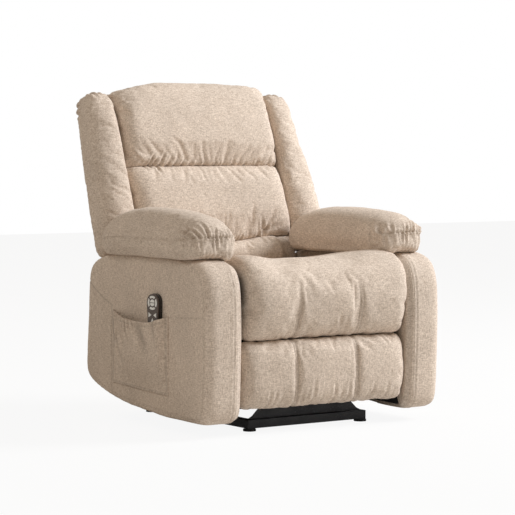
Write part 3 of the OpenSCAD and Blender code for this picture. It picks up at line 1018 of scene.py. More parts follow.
@dataclass
class FootrestPad(Slab):
    """The footrest pad under the seat, with the seat's sewn lines carried on."""

    node: str = "footrest_pad"
    body: str = "footrest"
    middle: float = 3.0
    round_width: float = 32.0
    round_depth: float = 20.0
    seam_x: float = 108.0
    voxel: float = 6.0
    cap: float = 6.0
    rear: float = -363.0
    corners: Path = (
        (-363, 80), (-363, 112), (-363, 170), (-363, 228), (-363, 262), (-374, 269), (-394, 267),
        (-410, 252), (-419, 215), (-421, 160), (-418, 112), (-408, 82), (-388, 74), (-370, 75))

    def section(self, x: float, edge: float, outline: Array) -> Pair:
        """Draws the ends in and bows the front back, more so on the left."""
        left = x < 0.0
        pull = edge * self.round_depth * (1.6 if left else 1.0)
        deep = unit((self.rear - outline[:, 0]) / 30.0)
        high = (outline[:, 1] - 172.0) / 96.0
        bow = (16.0 if left else 4.0) * (x / self.half) ** 2
        return outline[:, 0] + (pull + bow) * deep, outline[:, 1] - pull * 0.55 * high

    def held(self, points: Array) -> Array:
        """Holds the rear face and the sewn lines."""
        sewn = np.abs(np.abs(points[:, 0]) - self.seam_x) < 5.0
        return np.where(points[:, 1] > self.rear - 5.0, 1.0, np.where(sewn, 0.7, 0.0))

    def panels(self) -> list[Panel]:
        """Gives the front with its double seams and the folds over the lower edge, with painted shade in the
        folds.
        """
        folds = []
        for x in (-self.seam_x, self.seam_x):
            # the wide folds' dark values paint shade into their valleys; the narrow pairs are the dark seam
            # lines
            folds += creases(((((x, 60), (x, 285)), 3.2, 8.0, NONE, 0.2, 0.10),
                              *((((x + off, 60), (x + off, 285)), 1.5, 2.6, NONE, 0.3, 0.40)
                                for off in (-4.5, 4.5))))
        # painted shade in the valleys of the folds over the lower edge
        folds += [Crease(((a, 84), (b, z)), depth, width, END, 0.5, 0.10) for a, b, z, depth, width in (
            (-204, -200, 138, 2.2, 4.0), (-184, -178, 140, 2.6, 4.0), (-160, -158, 120, 1.4, 4.0),
            (-90, -84, 150, 2.6, 4.5), (-54, -45, 180, 2.4, 5.0), (-20, -18, 126, 1.5, 4.0),
            (27, 24, 158, 2.8, 4.5), (50, 52, 128, 1.4, 4.0), (76, 79, 160, 2.8, 4.5),
            (150, 156, 126, 1.5, 4.0), (163, 174, 146, 2.4, 5.0), (217, 226, 146, 2.2, 5.0),
            (-236, -232, 120, 1.6, 4.0), (245, 250, 118, 1.5, 4.0))]
        folds += [Crease(((a, 262), (b, z)), depth, 4.5, END, 0.4, 0.10) for a, b, z, depth in (
            (212, 228, 232, 2.2), (232, 246, 236, 2.0), (-98, -94, 236, 1.4), (60, 62, 238, 1.2),
            (150, 156, 240, 1.2))]
        folds += gathers((-270, 80), (270, 80), (0, 1), 30, 20.0, 0.9, 3.4, 5)
        return [Panel(flat_on(0, 2), facing(1, -1.0, -0.45), folds)]


@dataclass
class Headrest(Slab):
    """The headrest: crowned top, boxed ends, gathers over the seam below."""

    node: str = "headrest_cushion"
    body: str = "back"
    round_width: float = 62.0
    crown: float = 20.0
    left_drop: float = 19.0
    voxel: float = 5.0
    cap: float = 9.0
    corners: Path = (
        (58, 190), (58, 260), (58, 340), (58, 420), (57, 458), (50, 476), (36, 481), (20, 472), (5, 446),
        (-6, 404), (-11, 350), (-13, 300), (-12, 255), (-7, 222), (2, 200), (14, 190), (32, 187))

    def section(self, x: float, edge: float, outline: Array) -> Pair:
        """Lowers the crown towards the ends, the left one further."""
        top = unit((outline[:, 1] - 330.0) / 140.0)
        drop = self.left_drop * float(ease((-x - 120.0) / 175.0))
        along = outline[:, 1] - top * (self.crown * (abs(x) / self.half) ** 3 + 8.0 * edge + drop)
        return (self.drawn_in(x, (0.78 if x < 0.0 else 0.66) * edge, outline),
                along + unit((240.0 - outline[:, 1]) / 50.0) * 5.0 * edge)

    def held(self, points: Array) -> Array:
        """Holds the rear and the lower seam."""
        flat = BACK.local(points)
        return np.where(flat[:, 1] > BOARD - 6.0, 1.0, np.where(flat[:, 2] < 196.0, 0.8, 0.0))

    def panels(self) -> list[Panel]:
        """Gives the front with its gathers and the tucks at the corners, with painted shade in their valleys
        and along the left end.
        """
        # the folds' dark values paint shade into their valleys
        folds = [Crease(((a, 186), (b, s)), depth, width, END, 0.6, 0.22) for a, b, s, depth, width in (
            (-212, -188, 230, 4.2, 3.6), (-199, -174, 222, 3.4, 3.4), (-172, -147, 236, 4.0, 4.0),
            (-145, -122, 220, 3.2, 4.0), (-116, -100, 232, 3.0, 4.2), (-91, -74, 215, 2.4, 4.0),
            (-60, -50, 222, 2.0, 5.0), (-28, -20, 216, 1.7, 5.0), (-2, -10, 226, 1.8, 6.0),
            (36, 32, 214, 1.5, 5.0), (70, 72, 220, 1.6, 6.0), (104, 106, 212, 1.3, 5.0),
            (150, 154, 218, 1.5, 6.0), (196, 202, 214, 1.6, 5.0), (240, 250, 222, 2.2, 5.0),
            (262, 274, 214, 2.2, 4.0))]
        folds += gathers((-230, 188), (260, 188), (0.25, 1), 34, 22.0, 0.9, 3.2, 3)
        folds += creases((
            (((-292, 372), (-279, 389), (-258, 397), (-238, 394)), 4.6, 4.0, BOTH, 0.7, 0.30),
            (((-291, 396), (-284, 416), (-267, 430), (-246, 438)), 4.0, 4.0, BOTH, 0.5, 0.35),
            (((-268, 360), (-246, 352)), 1.8, 7.0), (((284, 424), (268, 400), (268, 386)), 4.0, 4.0),
            (((262, 416), (250, 398)), 2.6, 5.0),
            (((-290, 200), (-266, 196), (-248, 206), (-236, 196)), 5.0, 5.0, BOTH, 0.7, 0.30),
            (((-258, 190), (-246, 214)), -3.0, 5.0), (((-236, 188), (-228, 206)), -2.6, 4.0),
            # painted shade: a shallow wide fold down the left end, darkened for the shaded boxed end beside
            # the wing
            (((-291, 180), (-290, 300), (-286, 420)), 2.0, 9.0, NONE, 0.0, 0.55)))
        return [Panel(flat_on(0, 2, leaned=True), facing(1, -1.0, -0.45, leaned=True), folds)]


@dataclass
class Lumbar(Slab):
    """The large middle cushion, with a curved lower seam and a star at each end of it."""

    node: str = "lumbar_cushion"
    body: str = "back"
    voxel: float = 5.0
    cap: float = 9.0
    corners: Path = (
        (58, -46), (58, 0), (58, 90), (58, 178), (50, 186), (30, 188), (14, 182), (4, 168), (-2, 145),
        (-7, 100), (-10, 50), (-9, 10), (-3, -22), (8, -42), (28, -50), (46, -50))

    def seam_at(self, x: Array | float) -> Array:
        """Gives how far the lower seam lies below its ends, which makes its smile."""
        smile = np.maximum(0.0, 1.0 - (np.abs(x) / 170.0) ** 2)
        return -16.0 * smile + 8.0 * ease((np.abs(x) - 150.0) / 120.0)

    def section(self, x: float, edge: float, outline: Array) -> Pair:
        """Draws the ends in and bends the lower edge along its seam."""
        low = unit((30.0 - outline[:, 1]) / 80.0)
        return self.drawn_in(x, 0.64 * edge, outline), outline[:, 1] + low * self.seam_at(x)

    def held(self, points: Array) -> Array:
        """Holds the rear, the upper seam and the lower seam."""
        flat = BACK.local(points)
        low = flat[:, 2] < -40.0 + self.seam_at(flat[:, 0])
        return np.where(flat[:, 1] > BOARD - 6.0, 1.0, np.where((flat[:, 2] > 180.0) | low, 0.8, 0.0))

    def panels(self) -> list[Panel]:
        """Gives the front with its stars, the pleats under the upper seam and the drag lines, with painted
        shade in their valleys.
        """
        # the folds' dark values paint shade into their valleys
        folds = creases((
            (((-182, 188), (-180, 165), (-176, 138)), 3.4, 4.5, END, 0.7, 0.18),
            (((-229, 184), (-221, 158)), 2.4, 4.0), (((-206, 186), (-203, 168)), 1.8, 4.0),
            (((252, 186), (244, 164)), 2.4, 4.5), (((200, 188), (198, 172)), 1.5, 4.0, END, 0.3, 0.0),
            (((-285, 184), (-262, 176)), 2.0, 6.0, BOTH, 0.3, 0.0)), END, 0.5, 0.12)
        folds += gathers((-240, 186), (250, 186), (0, -1), 24, 13.0, 0.7, 3.4, 21)
        folds += mirrored((
            (((170, -42), (182, -22), (194, 8)), 5.5, 5.0, END, 0.6, 0.25),
            (((165, -42), (160, -12), (152, 18)), 3.6, 5.0, END, 0.5, 0.15),
            (((176, -40), (206, -24), (236, -14)), 4.4, 6.0, END, 0.4, 0.15),
            (((172, -38), (200, 0), (222, 30)), 2.0, 6.0, END, 0.4, 0.0),
            (((150, -48), (182, -34)), 4.5, 7.0, NONE, 0.2, 0.25),
            (((78, -58), (92, -38)), 2.4, 4.0, END, 0.5, 0.12),
            (((64, -60), (76, -44)), 2.0, 3.5, END, 0.5, 0.12)))
        folds += gathers((-140, -58), (140, -58), (0, 1), 16, 18.0, 0.8, 4.0, 9)
        return [Panel(flat_on(0, 2, leaned=True), facing(1, -1.0, -0.45, leaned=True), folds)]


@dataclass
class LowerBack(Slab):
    """The lowest back cushion, between the arm pillows."""

    node: str = "lower_back_cushion"
    body: str = "back"
    half: float = 290.0
    round_width: float = 10.0
    voxel: float = 6.0
    cap: float = 4.0
    corners: Path = (
        (58, -136), (58, -100), (58, -64), (50, -54), (30, -52), (12, -58), (0, -76), (-9, -98),
        (-13, -120), (-6, -136), (20, -142))

    def section(self, x: float, edge: float, outline: Array) -> Pair:
        """Sets the ends back behind the pillows and bends the upper edge along the seam above."""
        behind = float(ease((abs(x) - 206.0) / 30.0))
        depth = BOARD - (BOARD - outline[:, 0]) * (1.0 - 0.35 * edge) * (1.0 - 0.50 * behind)
        high = unit((outline[:, 1] + 110.0) / 50.0)
        smile = max(0.0, 1.0 - (abs(x) / 170.0) ** 2)
        sag = -14.0 * smile + 4.0 * float(ease((abs(x) - 150.0) / 100.0))
        return depth, outline[:, 1] + high * sag

    def held(self, points: Array) -> Array:
        """Holds the rear and the upper seam."""
        flat = BACK.local(points)
        return np.where(flat[:, 1] > BOARD - 8.0, 1.0, np.where(flat[:, 2] > -62.0, 0.8, 0.0))

    def panels(self) -> list[Panel]:
        """Gives the front with its slanting folds below the stars."""
        folds = mirrored((
            (((66, -84), (84, -124)), 2.6, 6.0), (((96, -72), (112, -104)), 1.8, 6.0),
            (((160, -60), (150, -92)), 2.2, 5.0, END), (((176, -62), (190, -96)), 2.0, 6.0, END)))
        return [Panel(flat_on(0, 2, leaned=True), facing(1, -1.0, -0.3, leaned=True), folds)]


@dataclass(kw_only=True)
class Wing(Cushion):
    """One side wing of the back, a long soft roll with a gathered top.

    Attributes:
        wider: What its outer side gains all along.
        lower: What its outer side gains towards its foot.
        stations: Place along the back, outer side, front face and size of each section.
    """

    side: float
    wider: float
    lower: float
    body: str = "back"
    voxel: float = 6.0
    cap: float = 7.0
    inner: float = 293.0
    rear: float = 102.0
    stations: Path = (
        (-84, 396, 32, 0.72), (-80, 398, 27, 0.88), (-72, 399, 22, 0.95), (-60, 400, 18, 1.0),
        (-20, 400, 4, 1.0), (20, 400, -4, 1.0), (70, 397, -5, 1.0), (120, 394, -5, 1.0),
        (180, 389, -5, 1.0), (240, 384, -5, 1.0), (290, 379, -4, 1.0), (340, 375, -3, 1.0),
        (390, 371, 2, 0.99), (412, 369, 10, 0.95), (426, 367, 18, 0.88), (434, 364, 28, 0.76),
        (438, 361, 38, 0.58))

    def rings(self) -> Array:
        """Gives the shell as rings of points in millimetres."""
        angles = np.linspace(0.0, 2.0 * math.pi, RING_POINTS, endpoint=False)
        c, v = np.cos(angles), np.sin(angles)
        square = 0.55 - 0.33 * ease(v / 0.5) * ease(c / 0.5)
        made = []
        for s, out, front, scale in stations_of(self.stations, np.arange(-60, 400, 10.0)):
            out += self.wider + self.lower * float(ease((260.0 - s) / 140.0))
            cx, rx = (self.inner + out) / 2.0, (out - self.inner) / 2.0 * scale
            cy, ry = (front + self.rear) / 2.0, (self.rear - front) / 2.0 * scale
            x = cx + rx * np.sign(c) * np.abs(c) ** square + 5.0 * ease(v / 0.6) * ease(c / 0.6)
            y = cy + ry * np.sign(v) * np.abs(v) ** square
            made.append(BACK.world(np.stack((self.side * x, y, np.full(len(x), s)), axis=1)))
        return np.array(made)

    def held(self, points: Array) -> Array:
        """Holds the inner and rear faces."""
        flat = BACK.local(points)
        inner, rear = np.abs(flat[:, 0]) < self.inner + 5.0, flat[:, 1] > self.rear - 5.0
        return np.where(inner | rear, 1.0, 0.0)

    def panels(self) -> list[Panel]:
        """Gives the outer side with its soft slanting folds, and the gathered top with painted shade in its
        folds.
        """
        # the folds' dark values paint shade into their valleys
        outer = creases((
            (((92, 215), (46, 240), (10, 262)), 2.4, 9.0), (((95, 150), (50, 172), (22, 190)), 2.2, 9.0),
            (((90, 300), (60, 312), (30, 330)), 1.8, 9.0), (((95, 90), (60, 100), (30, 120)), 1.7, 9.0),
            (((80, 350), (40, 356)), 1.6, 8.0), (((95, 20), (60, 26), (30, 40)), 1.5, 9.0),
            (((60, -70), (40, -30), (30, 10)), 2.0, 8.0), (((92, -60), (70, -30)), 1.8, 7.0),
            (((98, 402), (78, 412), (60, 430)), 4.0, 4.5, END, 0.7, 0.25),
            (((98, 380), (74, 384), (54, 396)), 3.4, 4.5, END, 0.7, 0.18),
            (((96, 420), (84, 430)), 3.0, 4.0, END, 0.7, 0.18), (((40, 440), (32, 412)), 2.6, 5.0, END)))
        front = creases((
            (((352, 444), (350, 418), (354, 396)), 3.0, 5.0), (((332, 446), (334, 414)), 3.4, 5.0),
            (((312, 446), (316, 420)), 3.0, 4.5), (((300, 436), (306, 398)), 2.4, 4.5),
            (((300, 200), (330, 214)), 1.4, 8.0, BOTH), (((300, 120), (334, 130)), 1.4, 8.0, BOTH)),
            END, 0.6, 0.18)
        rear = gathers((300, 436), (366, 436), (0, -1), 7, 20.0, 1.6, 4.0, 4)

        def flat_front(p: Array) -> Array:
            """Lays the front flat, counted outwards from the middle plane."""
            q = BACK.local(p)
            return np.stack((np.abs(q[:, 0]), q[:, 2]), axis=1)

        return [Panel(flat_on(1, 2, leaned=True), facing(0, self.side, 0.05), outer),
                Panel(flat_front, facing(1, -1.0, -0.2, leaned=True), front),
                Panel(flat_front, facing(1, 1.0, 0.1, leaned=True), rear)]


@dataclass
class BackPanel(Slab):
    """The thin padded cover over the rear of the back, with a lip over the board's top."""

    node: str = "back_panel"
    body: str = "back"
    fill: float = 0.8
    voxel: float = 6.0
    puff: float = 0.0
    half: float = 287.0
    round_width: float = 12.0
    step: float = 8.0
    core: float = 95.0
    corners: Path = (
        (86, -148), (86, 0), (86, 200), (86, 400), (86, 432), (86, 435.4), (83, 435.4), (62, 435.4),
        (60, 438), (62, 444), (84, 450), (90, 460), (97, 464), (104, 456), (108, 430), (107, 320),
        (106, 200), (105, 20), (104, -148))

    def section(self, x: float, edge: float, outline: Array) -> Pair:
        """Thins the ends, but not the lip, and lowers the top towards them."""
        thin = 0.45 * edge * (outline[:, 0] > 85.0)
        top = unit((outline[:, 1] - 442.0) / 20.0)
        return (self.core + (outline[:, 0] - self.core) * (1.0 - thin),
                outline[:, 1] - top * 18.0 * (abs(x) / 288.0) ** 3)

    def panels(self) -> list[Panel]:
        """Gives the rear with its border seam and a zip line."""
        border = (((-262, -150), (-262, 424), (-240, 436), (240, 436), (262, 424), (262, -150)),
                  2.2, 3.2, NONE, 0.4, 0.4)
        zipper = (((-250, -96), (250, -96)), 2.0, 3.0, NONE, 0.3, 0.45)
        return [Panel(flat_on(0, 2, leaned=True), facing(1, 1.0, 0.2, 0.4, leaned=True),
                      creases((border, zipper)))]


@dataclass
class RearPanel(Slab):
    """The cloth panel that closes the rear between the arms, below the back."""

    node: str = "rear_panel"
    body: str = "chassis"
    fill: float = 0.8
    voxel: float = 6.0
    puff: float = 0.0
    half: float = 299.0
    round_width: float = 6.0
    step: float = 7.0
    rounds: int = 1
    core: float = 244.0
    corners: Path = (
        (238, 96), (238, 200), (238, 330), (238, 412), (244, 413), (249, 400), (251, 300), (251, 200),
        (250, 96))

    def section(self, x: float, edge: float, outline: Array) -> Pair:
        """Thins the panel towards its ends."""
        return self.core + (outline[:, 0] - self.core) * (1.0 - 0.4 * edge), outline[:, 1]

    def soften(self, points: Array, normals: Array) -> Array:
        """Gives a faint slackness of the cloth."""
        return 0.7 * wave_noise(points, 110.0, 5) * np.abs(normals[:, 1])

    def panels(self) -> list[Panel]:
        """Gives the rear with its hem and its upper seam."""
        hems = [Crease(((-295, z), (295, z)), depth, 2.8, NONE, 0.3, dark)
                for z, depth, dark in ((108, 1.6, 0.4), (402, 1.2, 0.3))]
        return [Panel(flat_on(0, 2), facing(1, 1.0, 0.3, 0.4), hems)]


@dataclass(kw_only=True)
class Arm(Cushion):
    """One padded arm: a flat outer side, a rounded band along its front and top, sewn edges.

    Attributes:
        roll_width: Width of the outer side's rounding at the front.
        crisp_width: Width of the outer side's rounding elsewhere.
        lip_width: Width of the rounding at the inner side.
    """

    side: float
    body: str = "chassis"
    fill: float = 0.85
    voxel: float = 7.0
    puff: float = 0.0
    inner: float = 318.0
    outer: float = 421.0
    roll_width: float = 34.0
    crisp_width: float = 12.0
    lip_width: float = 9.0
    corners: Path = (
        (-300, 509), (-348, 506), (-390, 489), (-411, 455), (-421, 410), (-423, 333), (-423, 285),
        (-421, 240), (-418, 140), (-414, 72), (-400, 45), (-366, 37), (-240, 41), (-91, 51), (64, 67),
        (152, 86), (228, 111), (261, 134), (269, 165), (264, 215), (258, 265), (250, 356), (246, 431),
        (233, 466), (198, 488), (140, 503), (60, 508), (-120, 508), (-220, 508))

    def rings(self) -> Array:
        """Gives the shell as rings of points in millimetres."""
        outline = outline_of(self.corners, 7.0, 2)
        inward = inward_of(np.roll(outline, -1, axis=0) - np.roll(outline, 1, axis=0))
        front = ease((-outline[:, 0] - 180.0) / 140.0)
        flat = np.linspace(20, self.outer - self.inner - self.roll_width, 6)
        turn = 1 - np.sin(np.linspace(0, math.pi / 2, 12))
        made = []
        for x in np.concatenate((self.inner + np.linspace(0, 12, 6), self.inner + flat,
                                 self.outer - self.roll_width * turn[1:])):
            roll = 19.0 * quarter(max(0.0, (x - (self.outer - self.roll_width)) / self.roll_width))
            crisp = 9.0 * quarter(max(0.0, (x - (self.outer - self.crisp_width)) / self.crisp_width))
            lip = 3.0 * quarter(min(1.0, max(0.0, 1.0 - (x - self.inner) / self.lip_width)))
            drawn = outline + inward * (front * roll + (1.0 - front) * crisp + lip)[:, None]
            made.append(np.stack((np.full(len(drawn), self.side * x), drawn[:, 0], drawn[:, 1]), axis=1))
        return np.array(made)

    def soften(self, points: Array, normals: Array) -> Array:
        """Gives soft unevenness, and sets the flat sides back a little."""
        flat = np.abs(normals[:, 0]) > 0.9
        return 0.8 * wave_noise(points, 120.0, 3) + 0.4 * wave_noise(points, 45.0, 8) - 0.8 * flat

    def panels(self) -> list[Panel]:
        """Gives the outer side with its seams, and the band's edges."""
        side = creases((
            (((252, 428), (236, 416), (208, 397), (155, 370), (104, 352)), 1.3, 2.4, NONE, 0.3, 0.45),
            (((108, 352), (111, 247), (110, 124), (106, 60)), 1.2, 2.4, NONE, 0.3, 0.40),
            (((-218, 337), (-288, 340), (-357, 344), (-405, 347)), 1.1, 2.4, NONE, 0.3, 0.30),
            (((-281, 503), (-327, 495), (-368, 476), (-391, 447), (-402, 408), (-404, 328), (-402, 240),
              (-399, 164), (-394, 84), (-378, 56), (-340, 50)), 1.5, 3.0, NONE, 0.4, 0.22),
            (((-340, 50), (-240, 56), (-91, 66), (64, 82), (152, 101), (214, 124)),
             0.8, 2.4, NONE, 0.3, 0.15),
            (((30, 96), (34, 72)), 1.2, 5.0), (((60, 104), (66, 74)), 1.3, 5.0),
            (((-20, 90), (-18, 64)), 1.0, 5.0)))
        lip = [Crease(((-310, 490), (-350, 477), (-380, 451), (-397, 414), (-404, 352), (-407, 261),
                       (-402, 169), (-392, 60)), 1.6, 3.0, NONE, 0.4, 0.25)]
        inner_seam = self.inner + 13.0
        band = [Crease(((inner_seam, -500), (inner_seam, 900)), 1.3, 2.6, NONE, 0.6, 0.26)]

        def round_front(p: Array) -> Array:
            """Unrolls the band: across it, and along its bend."""
            return np.stack((np.abs(p[:, 0]), np.arctan2(p[:, 2] - 280.0, -p[:, 1]) * 250.0), axis=1)

        return [Panel(flat_on(1, 2), facing(0, self.side, 0.3, 0.4), side),
                Panel(flat_on(1, 2), facing(0, -self.side, 0.3, 0.4), lip),
                Panel(round_front,
                      lambda p, n: ease((0.9 - np.abs(n[:, 0])) / 0.3) * (p[:, 1] < -240.0), band)]


@dataclass
class FrameFacing:
    """The strip of cloth that is wrapped over the front and top edge of an arm's inner board, with painted
    shade on its inner part.

    Attributes:
        fold: Where its fold lies, from the middle plane.
        profile: Place across and depth below the edge, all round the strip.
    """

    side: float
    word: str
    count: int = 230
    fold: float = 317.4
    path: Path = (
        (190, 488), (140, 502), (60, 508), (-60, 508), (-200, 508), (-300, 509), (-348, 506), (-390, 489),
        (-411, 455), (-421, 410), (-423, 333), (-423, 285), (-421, 240), (-418, 140), (-414, 72),
        (-402, 47), (-384, 39))
    profile: Path = (
        (330, 4.0), (325, 1.0), (321, 0.3), (318.6, 0.3), (317.4, 0.8), (316.4, 1.6), (313, 3.4),
        (306, 7.0), (301.4, 9.4), (299.4, 11.2), (298.8, 14), (298.6, 20), (298.6, 40), (298.8, 62),
        (299.3, 63), (299.7, 62), (299.7, 40), (299.8, 16), (300.6, 11.9), (303, 11.5), (330, 11.5))

    def build(self, shop: Shop) -> Piece:
        """Makes, dresses and places the strip.

        Args:
            shop: The finishes.

        Returns:
            The finished piece.
        """
        edge = chaikin(np.array(self.path, float), closed=False)
        line = evenly(edge, self.count, closed=False)
        inward = inward_of(np.gradient(line, axis=0))
        rings = np.array([[(self.side * x, *(at + way * deep)) for x, deep in self.profile]
                          for at, way in zip(line, inward)])
        piece = loft(f"arm_{self.word}_facing", rings)
        x = np.tile(np.array([x for x, _ in self.profile]), len(rings))
        y, z = (np.repeat(line[:, k], len(self.profile)) for k in range(2))
        # painted shade: the right strip's inner part is darkened for the shade it lies in, and the left
        # strip's inner lip is painted near black for the shadowed gap beside the seat; the fold gets a dark
        # seam line
        inside = (x < 314.0) & (self.side > 0.0)
        gap = (x < 300.0) * (self.side < 0.0) * ease((z - 300.0) / 90.0) * ease((-y - 370.0) / 40.0)
        write_layer(piece, "seam", 0.4 * (np.abs(x - self.fold) < 0.3) + 0.30 * inside + 1.4 * gap)
        select_only(piece)
        bpy.ops.object.shade_smooth_by_angle(angle=math.radians(60.0))
        shop.dress(piece, "chenille")
        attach(piece, "chassis")
        LOG.info("%s: %d faces", piece.name, len(piece.data.polygons))
        return piece


@dataclass(kw_only=True)
class ArmPillow(Cushion):
    """One loose-looking pillow sewn over an arm, with a boxed lower band and darts at its front.

    Attributes:
        section: Its section, as a share of the reach and a height.
        stations: Place along the arm, width, height and lift of each section.
        shorter: How far its rear end is drawn forwards.
    """

    side: float
    mid: float
    reach: float
    shorter: float
    tall: float
    body: str = "chassis"
    fill: float = 0.6
    voxel: float = 5.0
    puff: float = 3.0
    cap: float = 4.0
    grow: float = 2.0
    section: Path = (
        (1, 58), (0.985, 78), (0.93, 92), (0.8, 108), (0.62, 122), (0.36, 133), (0.08, 137), (-0.2, 134),
        (-0.48, 124), (-0.7, 110), (-0.87, 88), (-0.97, 66), (-1, 48), (-0.96, 20), (-0.87, -2), (-0.7, -9),
        (-0.52, -7), (-0.42, 1), (0, 1), (0.5, 1), (0.72, -1), (0.88, 4), (0.98, 28))
    stations: Path = (
        (-368, 0.42, 0.38, 24), (-367, 0.50, 0.47, 18), (-365, 0.57, 0.545, 13), (-361, 0.64, 0.62, 8),
        (-356, 0.705, 0.685, 5), (-348, 0.78, 0.745, 3), (-338, 0.84, 0.795, 1.5), (-320, 0.915, 0.85, 1),
        (-300, 0.965, 0.895, 0), (-250, 1, 0.945, 0), (-200, 1, 0.98, 0), (-100, 1, 1, 0), (-8, 1, 1, 0),
        (60, 1, 0.95, 0), (110, 0.98, 0.87, 0), (126, 0.95, 0.81, -1), (136, 0.92, 0.74, -2),
        (145, 0.84, 0.64, -3), (150, 0.76, 0.54, -3), (155, 0.55, 0.36, 3))

    def rings(self) -> Array:
        """Gives the shell as rings of points in millimetres."""
        shape = outline_of([(u * self.reach, v) for u, v in self.section], 5.0, 2)
        shape = shape / np.array([self.reach, 1.0])
        made = []
        for y, wide, high, lift in stations_of(self.stations, np.arange(-310, 110, 12.0)):
            place = y - self.shorter * float(ease((y + 100.0) / 200.0))
            made.append(np.stack((self.side * (self.mid + self.reach * shape[:, 0] * wide),
                                  np.full(len(shape), place),
                                  511.0 + (shape[:, 1] - 1.0) * high * self.tall + lift), axis=1))
        return np.array(made)

    def held(self, points: Array) -> Array:
        """Holds the underside and the seam round the outside."""
        x, y, z = points.T
        seam = np.abs(z - self.seam_height(y)) < 4.0
        outside = (self.side * x > self.mid + 40.0) | (y < -350.0)
        return np.where(z < 514.0, 1.0, np.where(seam & outside, 0.6, 0.0))

    def seam_height(self, y: Array) -> Array:
        """Gives the height of the seam round the outside at a place along the arm."""
        return np.interp(y, (-368, -340, -270, 0, 80, 150), (570, 569, 563, 563, 558, 548))

    def panels(self) -> list[Panel]:
        """Gives the outer side and the front with their seam, the darts and the gathers, with painted shade
        in the folds.
        """
        seam = tuple((y, float(self.seam_height(np.array([y]))[0]))
                     for y in (-345, -330, -310, -270, -170, -70, 24, 80, 120, 152))
        side = [Crease(seam, 2.0, 2.8, NONE, 0.7, 0.16)]
        side += gathers((-352, 571), (-200, 563), (0.2, -1), 15, 22.0, 1.3, 3.4, 14)
        side += gathers((-200, 563), (110, 556), (0.1, -1), 17, 16.0, 0.9, 3.4, 15)
        side += gathers((-352, 572), (40, 563), (0.1, 1), 20, 12.0, 0.7, 3.2, 16)
        side += creases((
            (((-211, 559), (-221, 521)), 1.6, 6.0), (((-281, 549), (-287, 520)), 2.0, 6.0),
            (((-120, 556), (-112, 522)), 1.4, 6.0), (((60, 552), (70, 520)), 1.4, 6.0)))

        def across_front(*path: Point) -> Path:
            """Counts a path across the front from the pillow's own middle."""
            return tuple((self.mid + off, z) for off, z in path)

        seam = across_front((92, 568), (70, 571), (38, 574), (0, 574), (-38, 573), (-70, 568), (-92, 560))
        front = [Crease(seam, 0.9, 2.8, NONE, 0.3, 0.18), Crease(seam[1:-1], 2.6, 3.4, BOTH, 0.7)]
        # the darts' dark values paint shade into their valleys
        front += creases((
            (across_front((84, 606), (78, 590), (66, 574)), 5.5, 3.6, START, 0.9, 0.30),
            (across_front((74, 612), (66, 594), (52, 575)), 5.0, 3.4, START, 0.9, 0.26),
            (across_front((44, 622), (34, 604), (26, 577)), 4.2, 4.0, START, 0.8, 0.20),
            (across_front((6, 612), (2, 596), (0, 576)), 2.6, 3.6, START, 0.7, 0.14),
            (across_front((-40, 606), (-44, 590), (-48, 572)), 3.4, 3.6, START, 0.8, 0.20),
            (across_front((-62, 600), (-66, 586), (-70, 570)), 4.4, 3.4, START, 0.8, 0.26),
            (across_front((-80, 590), (-82, 578), (-84, 566)), 4.0, 3.2, START, 0.8, 0.26)))
        for left, right, up, settings in (
                (568, 570, -1, (13, 38.0, 2.8, 4.0, 18)), (518, 518, 1, (12, 22.0, 2.0, 4.0, 19)),
                (574, 574, 1, (15, 17.0, 1.6, 3.2, 20))):
            front += gathers(*across_front((-86, left), (88, right)), (0, up), *settings)
        # the folds' dark values paint shade into their valleys
        inner = creases((
            (((-343, 556), (-338, 572), (-322, 590)), 4.0, 3.8, BOTH, 0.8, 0.2),
            (((-343, 554), (-330, 562), (-304, 570)), 4.0, 3.8, BOTH, 0.8, 0.2),
            (((-343, 552), (-328, 548), (-300, 546)), 3.4, 4.0, BOTH, 0.8, 0.16),
            (((-343, 550), (-334, 534), (-316, 524)), 3.6, 4.0, BOTH, 0.8, 0.18),
            (((-343, 548), (-344, 530), (-340, 514)), 3.4, 4.0, BOTH, 0.8, 0.2),
            (((-343, 566), (-344, 584), (-336, 600)), 3.0, 4.0, BOTH, 0.8, 0.14),
            (((-300, 525), (-200, 530), (-90, 524)), 1.4, 9.0)))

        def flat_front(p: Array) -> Array:
            """Lays the front flat, counted outwards from the middle plane."""
            return np.stack((self.side * p[:, 0], p[:, 2]), axis=1)

        return [Panel(flat_on(1, 2), facing(0, self.side, 0.1), side),
                Panel(flat_on(1, 2), facing(0, -self.side, 0.1), inner),
                Panel(flat_front, facing(1, -1.0, -0.1, 0.4, ahead=-290.0), front)]


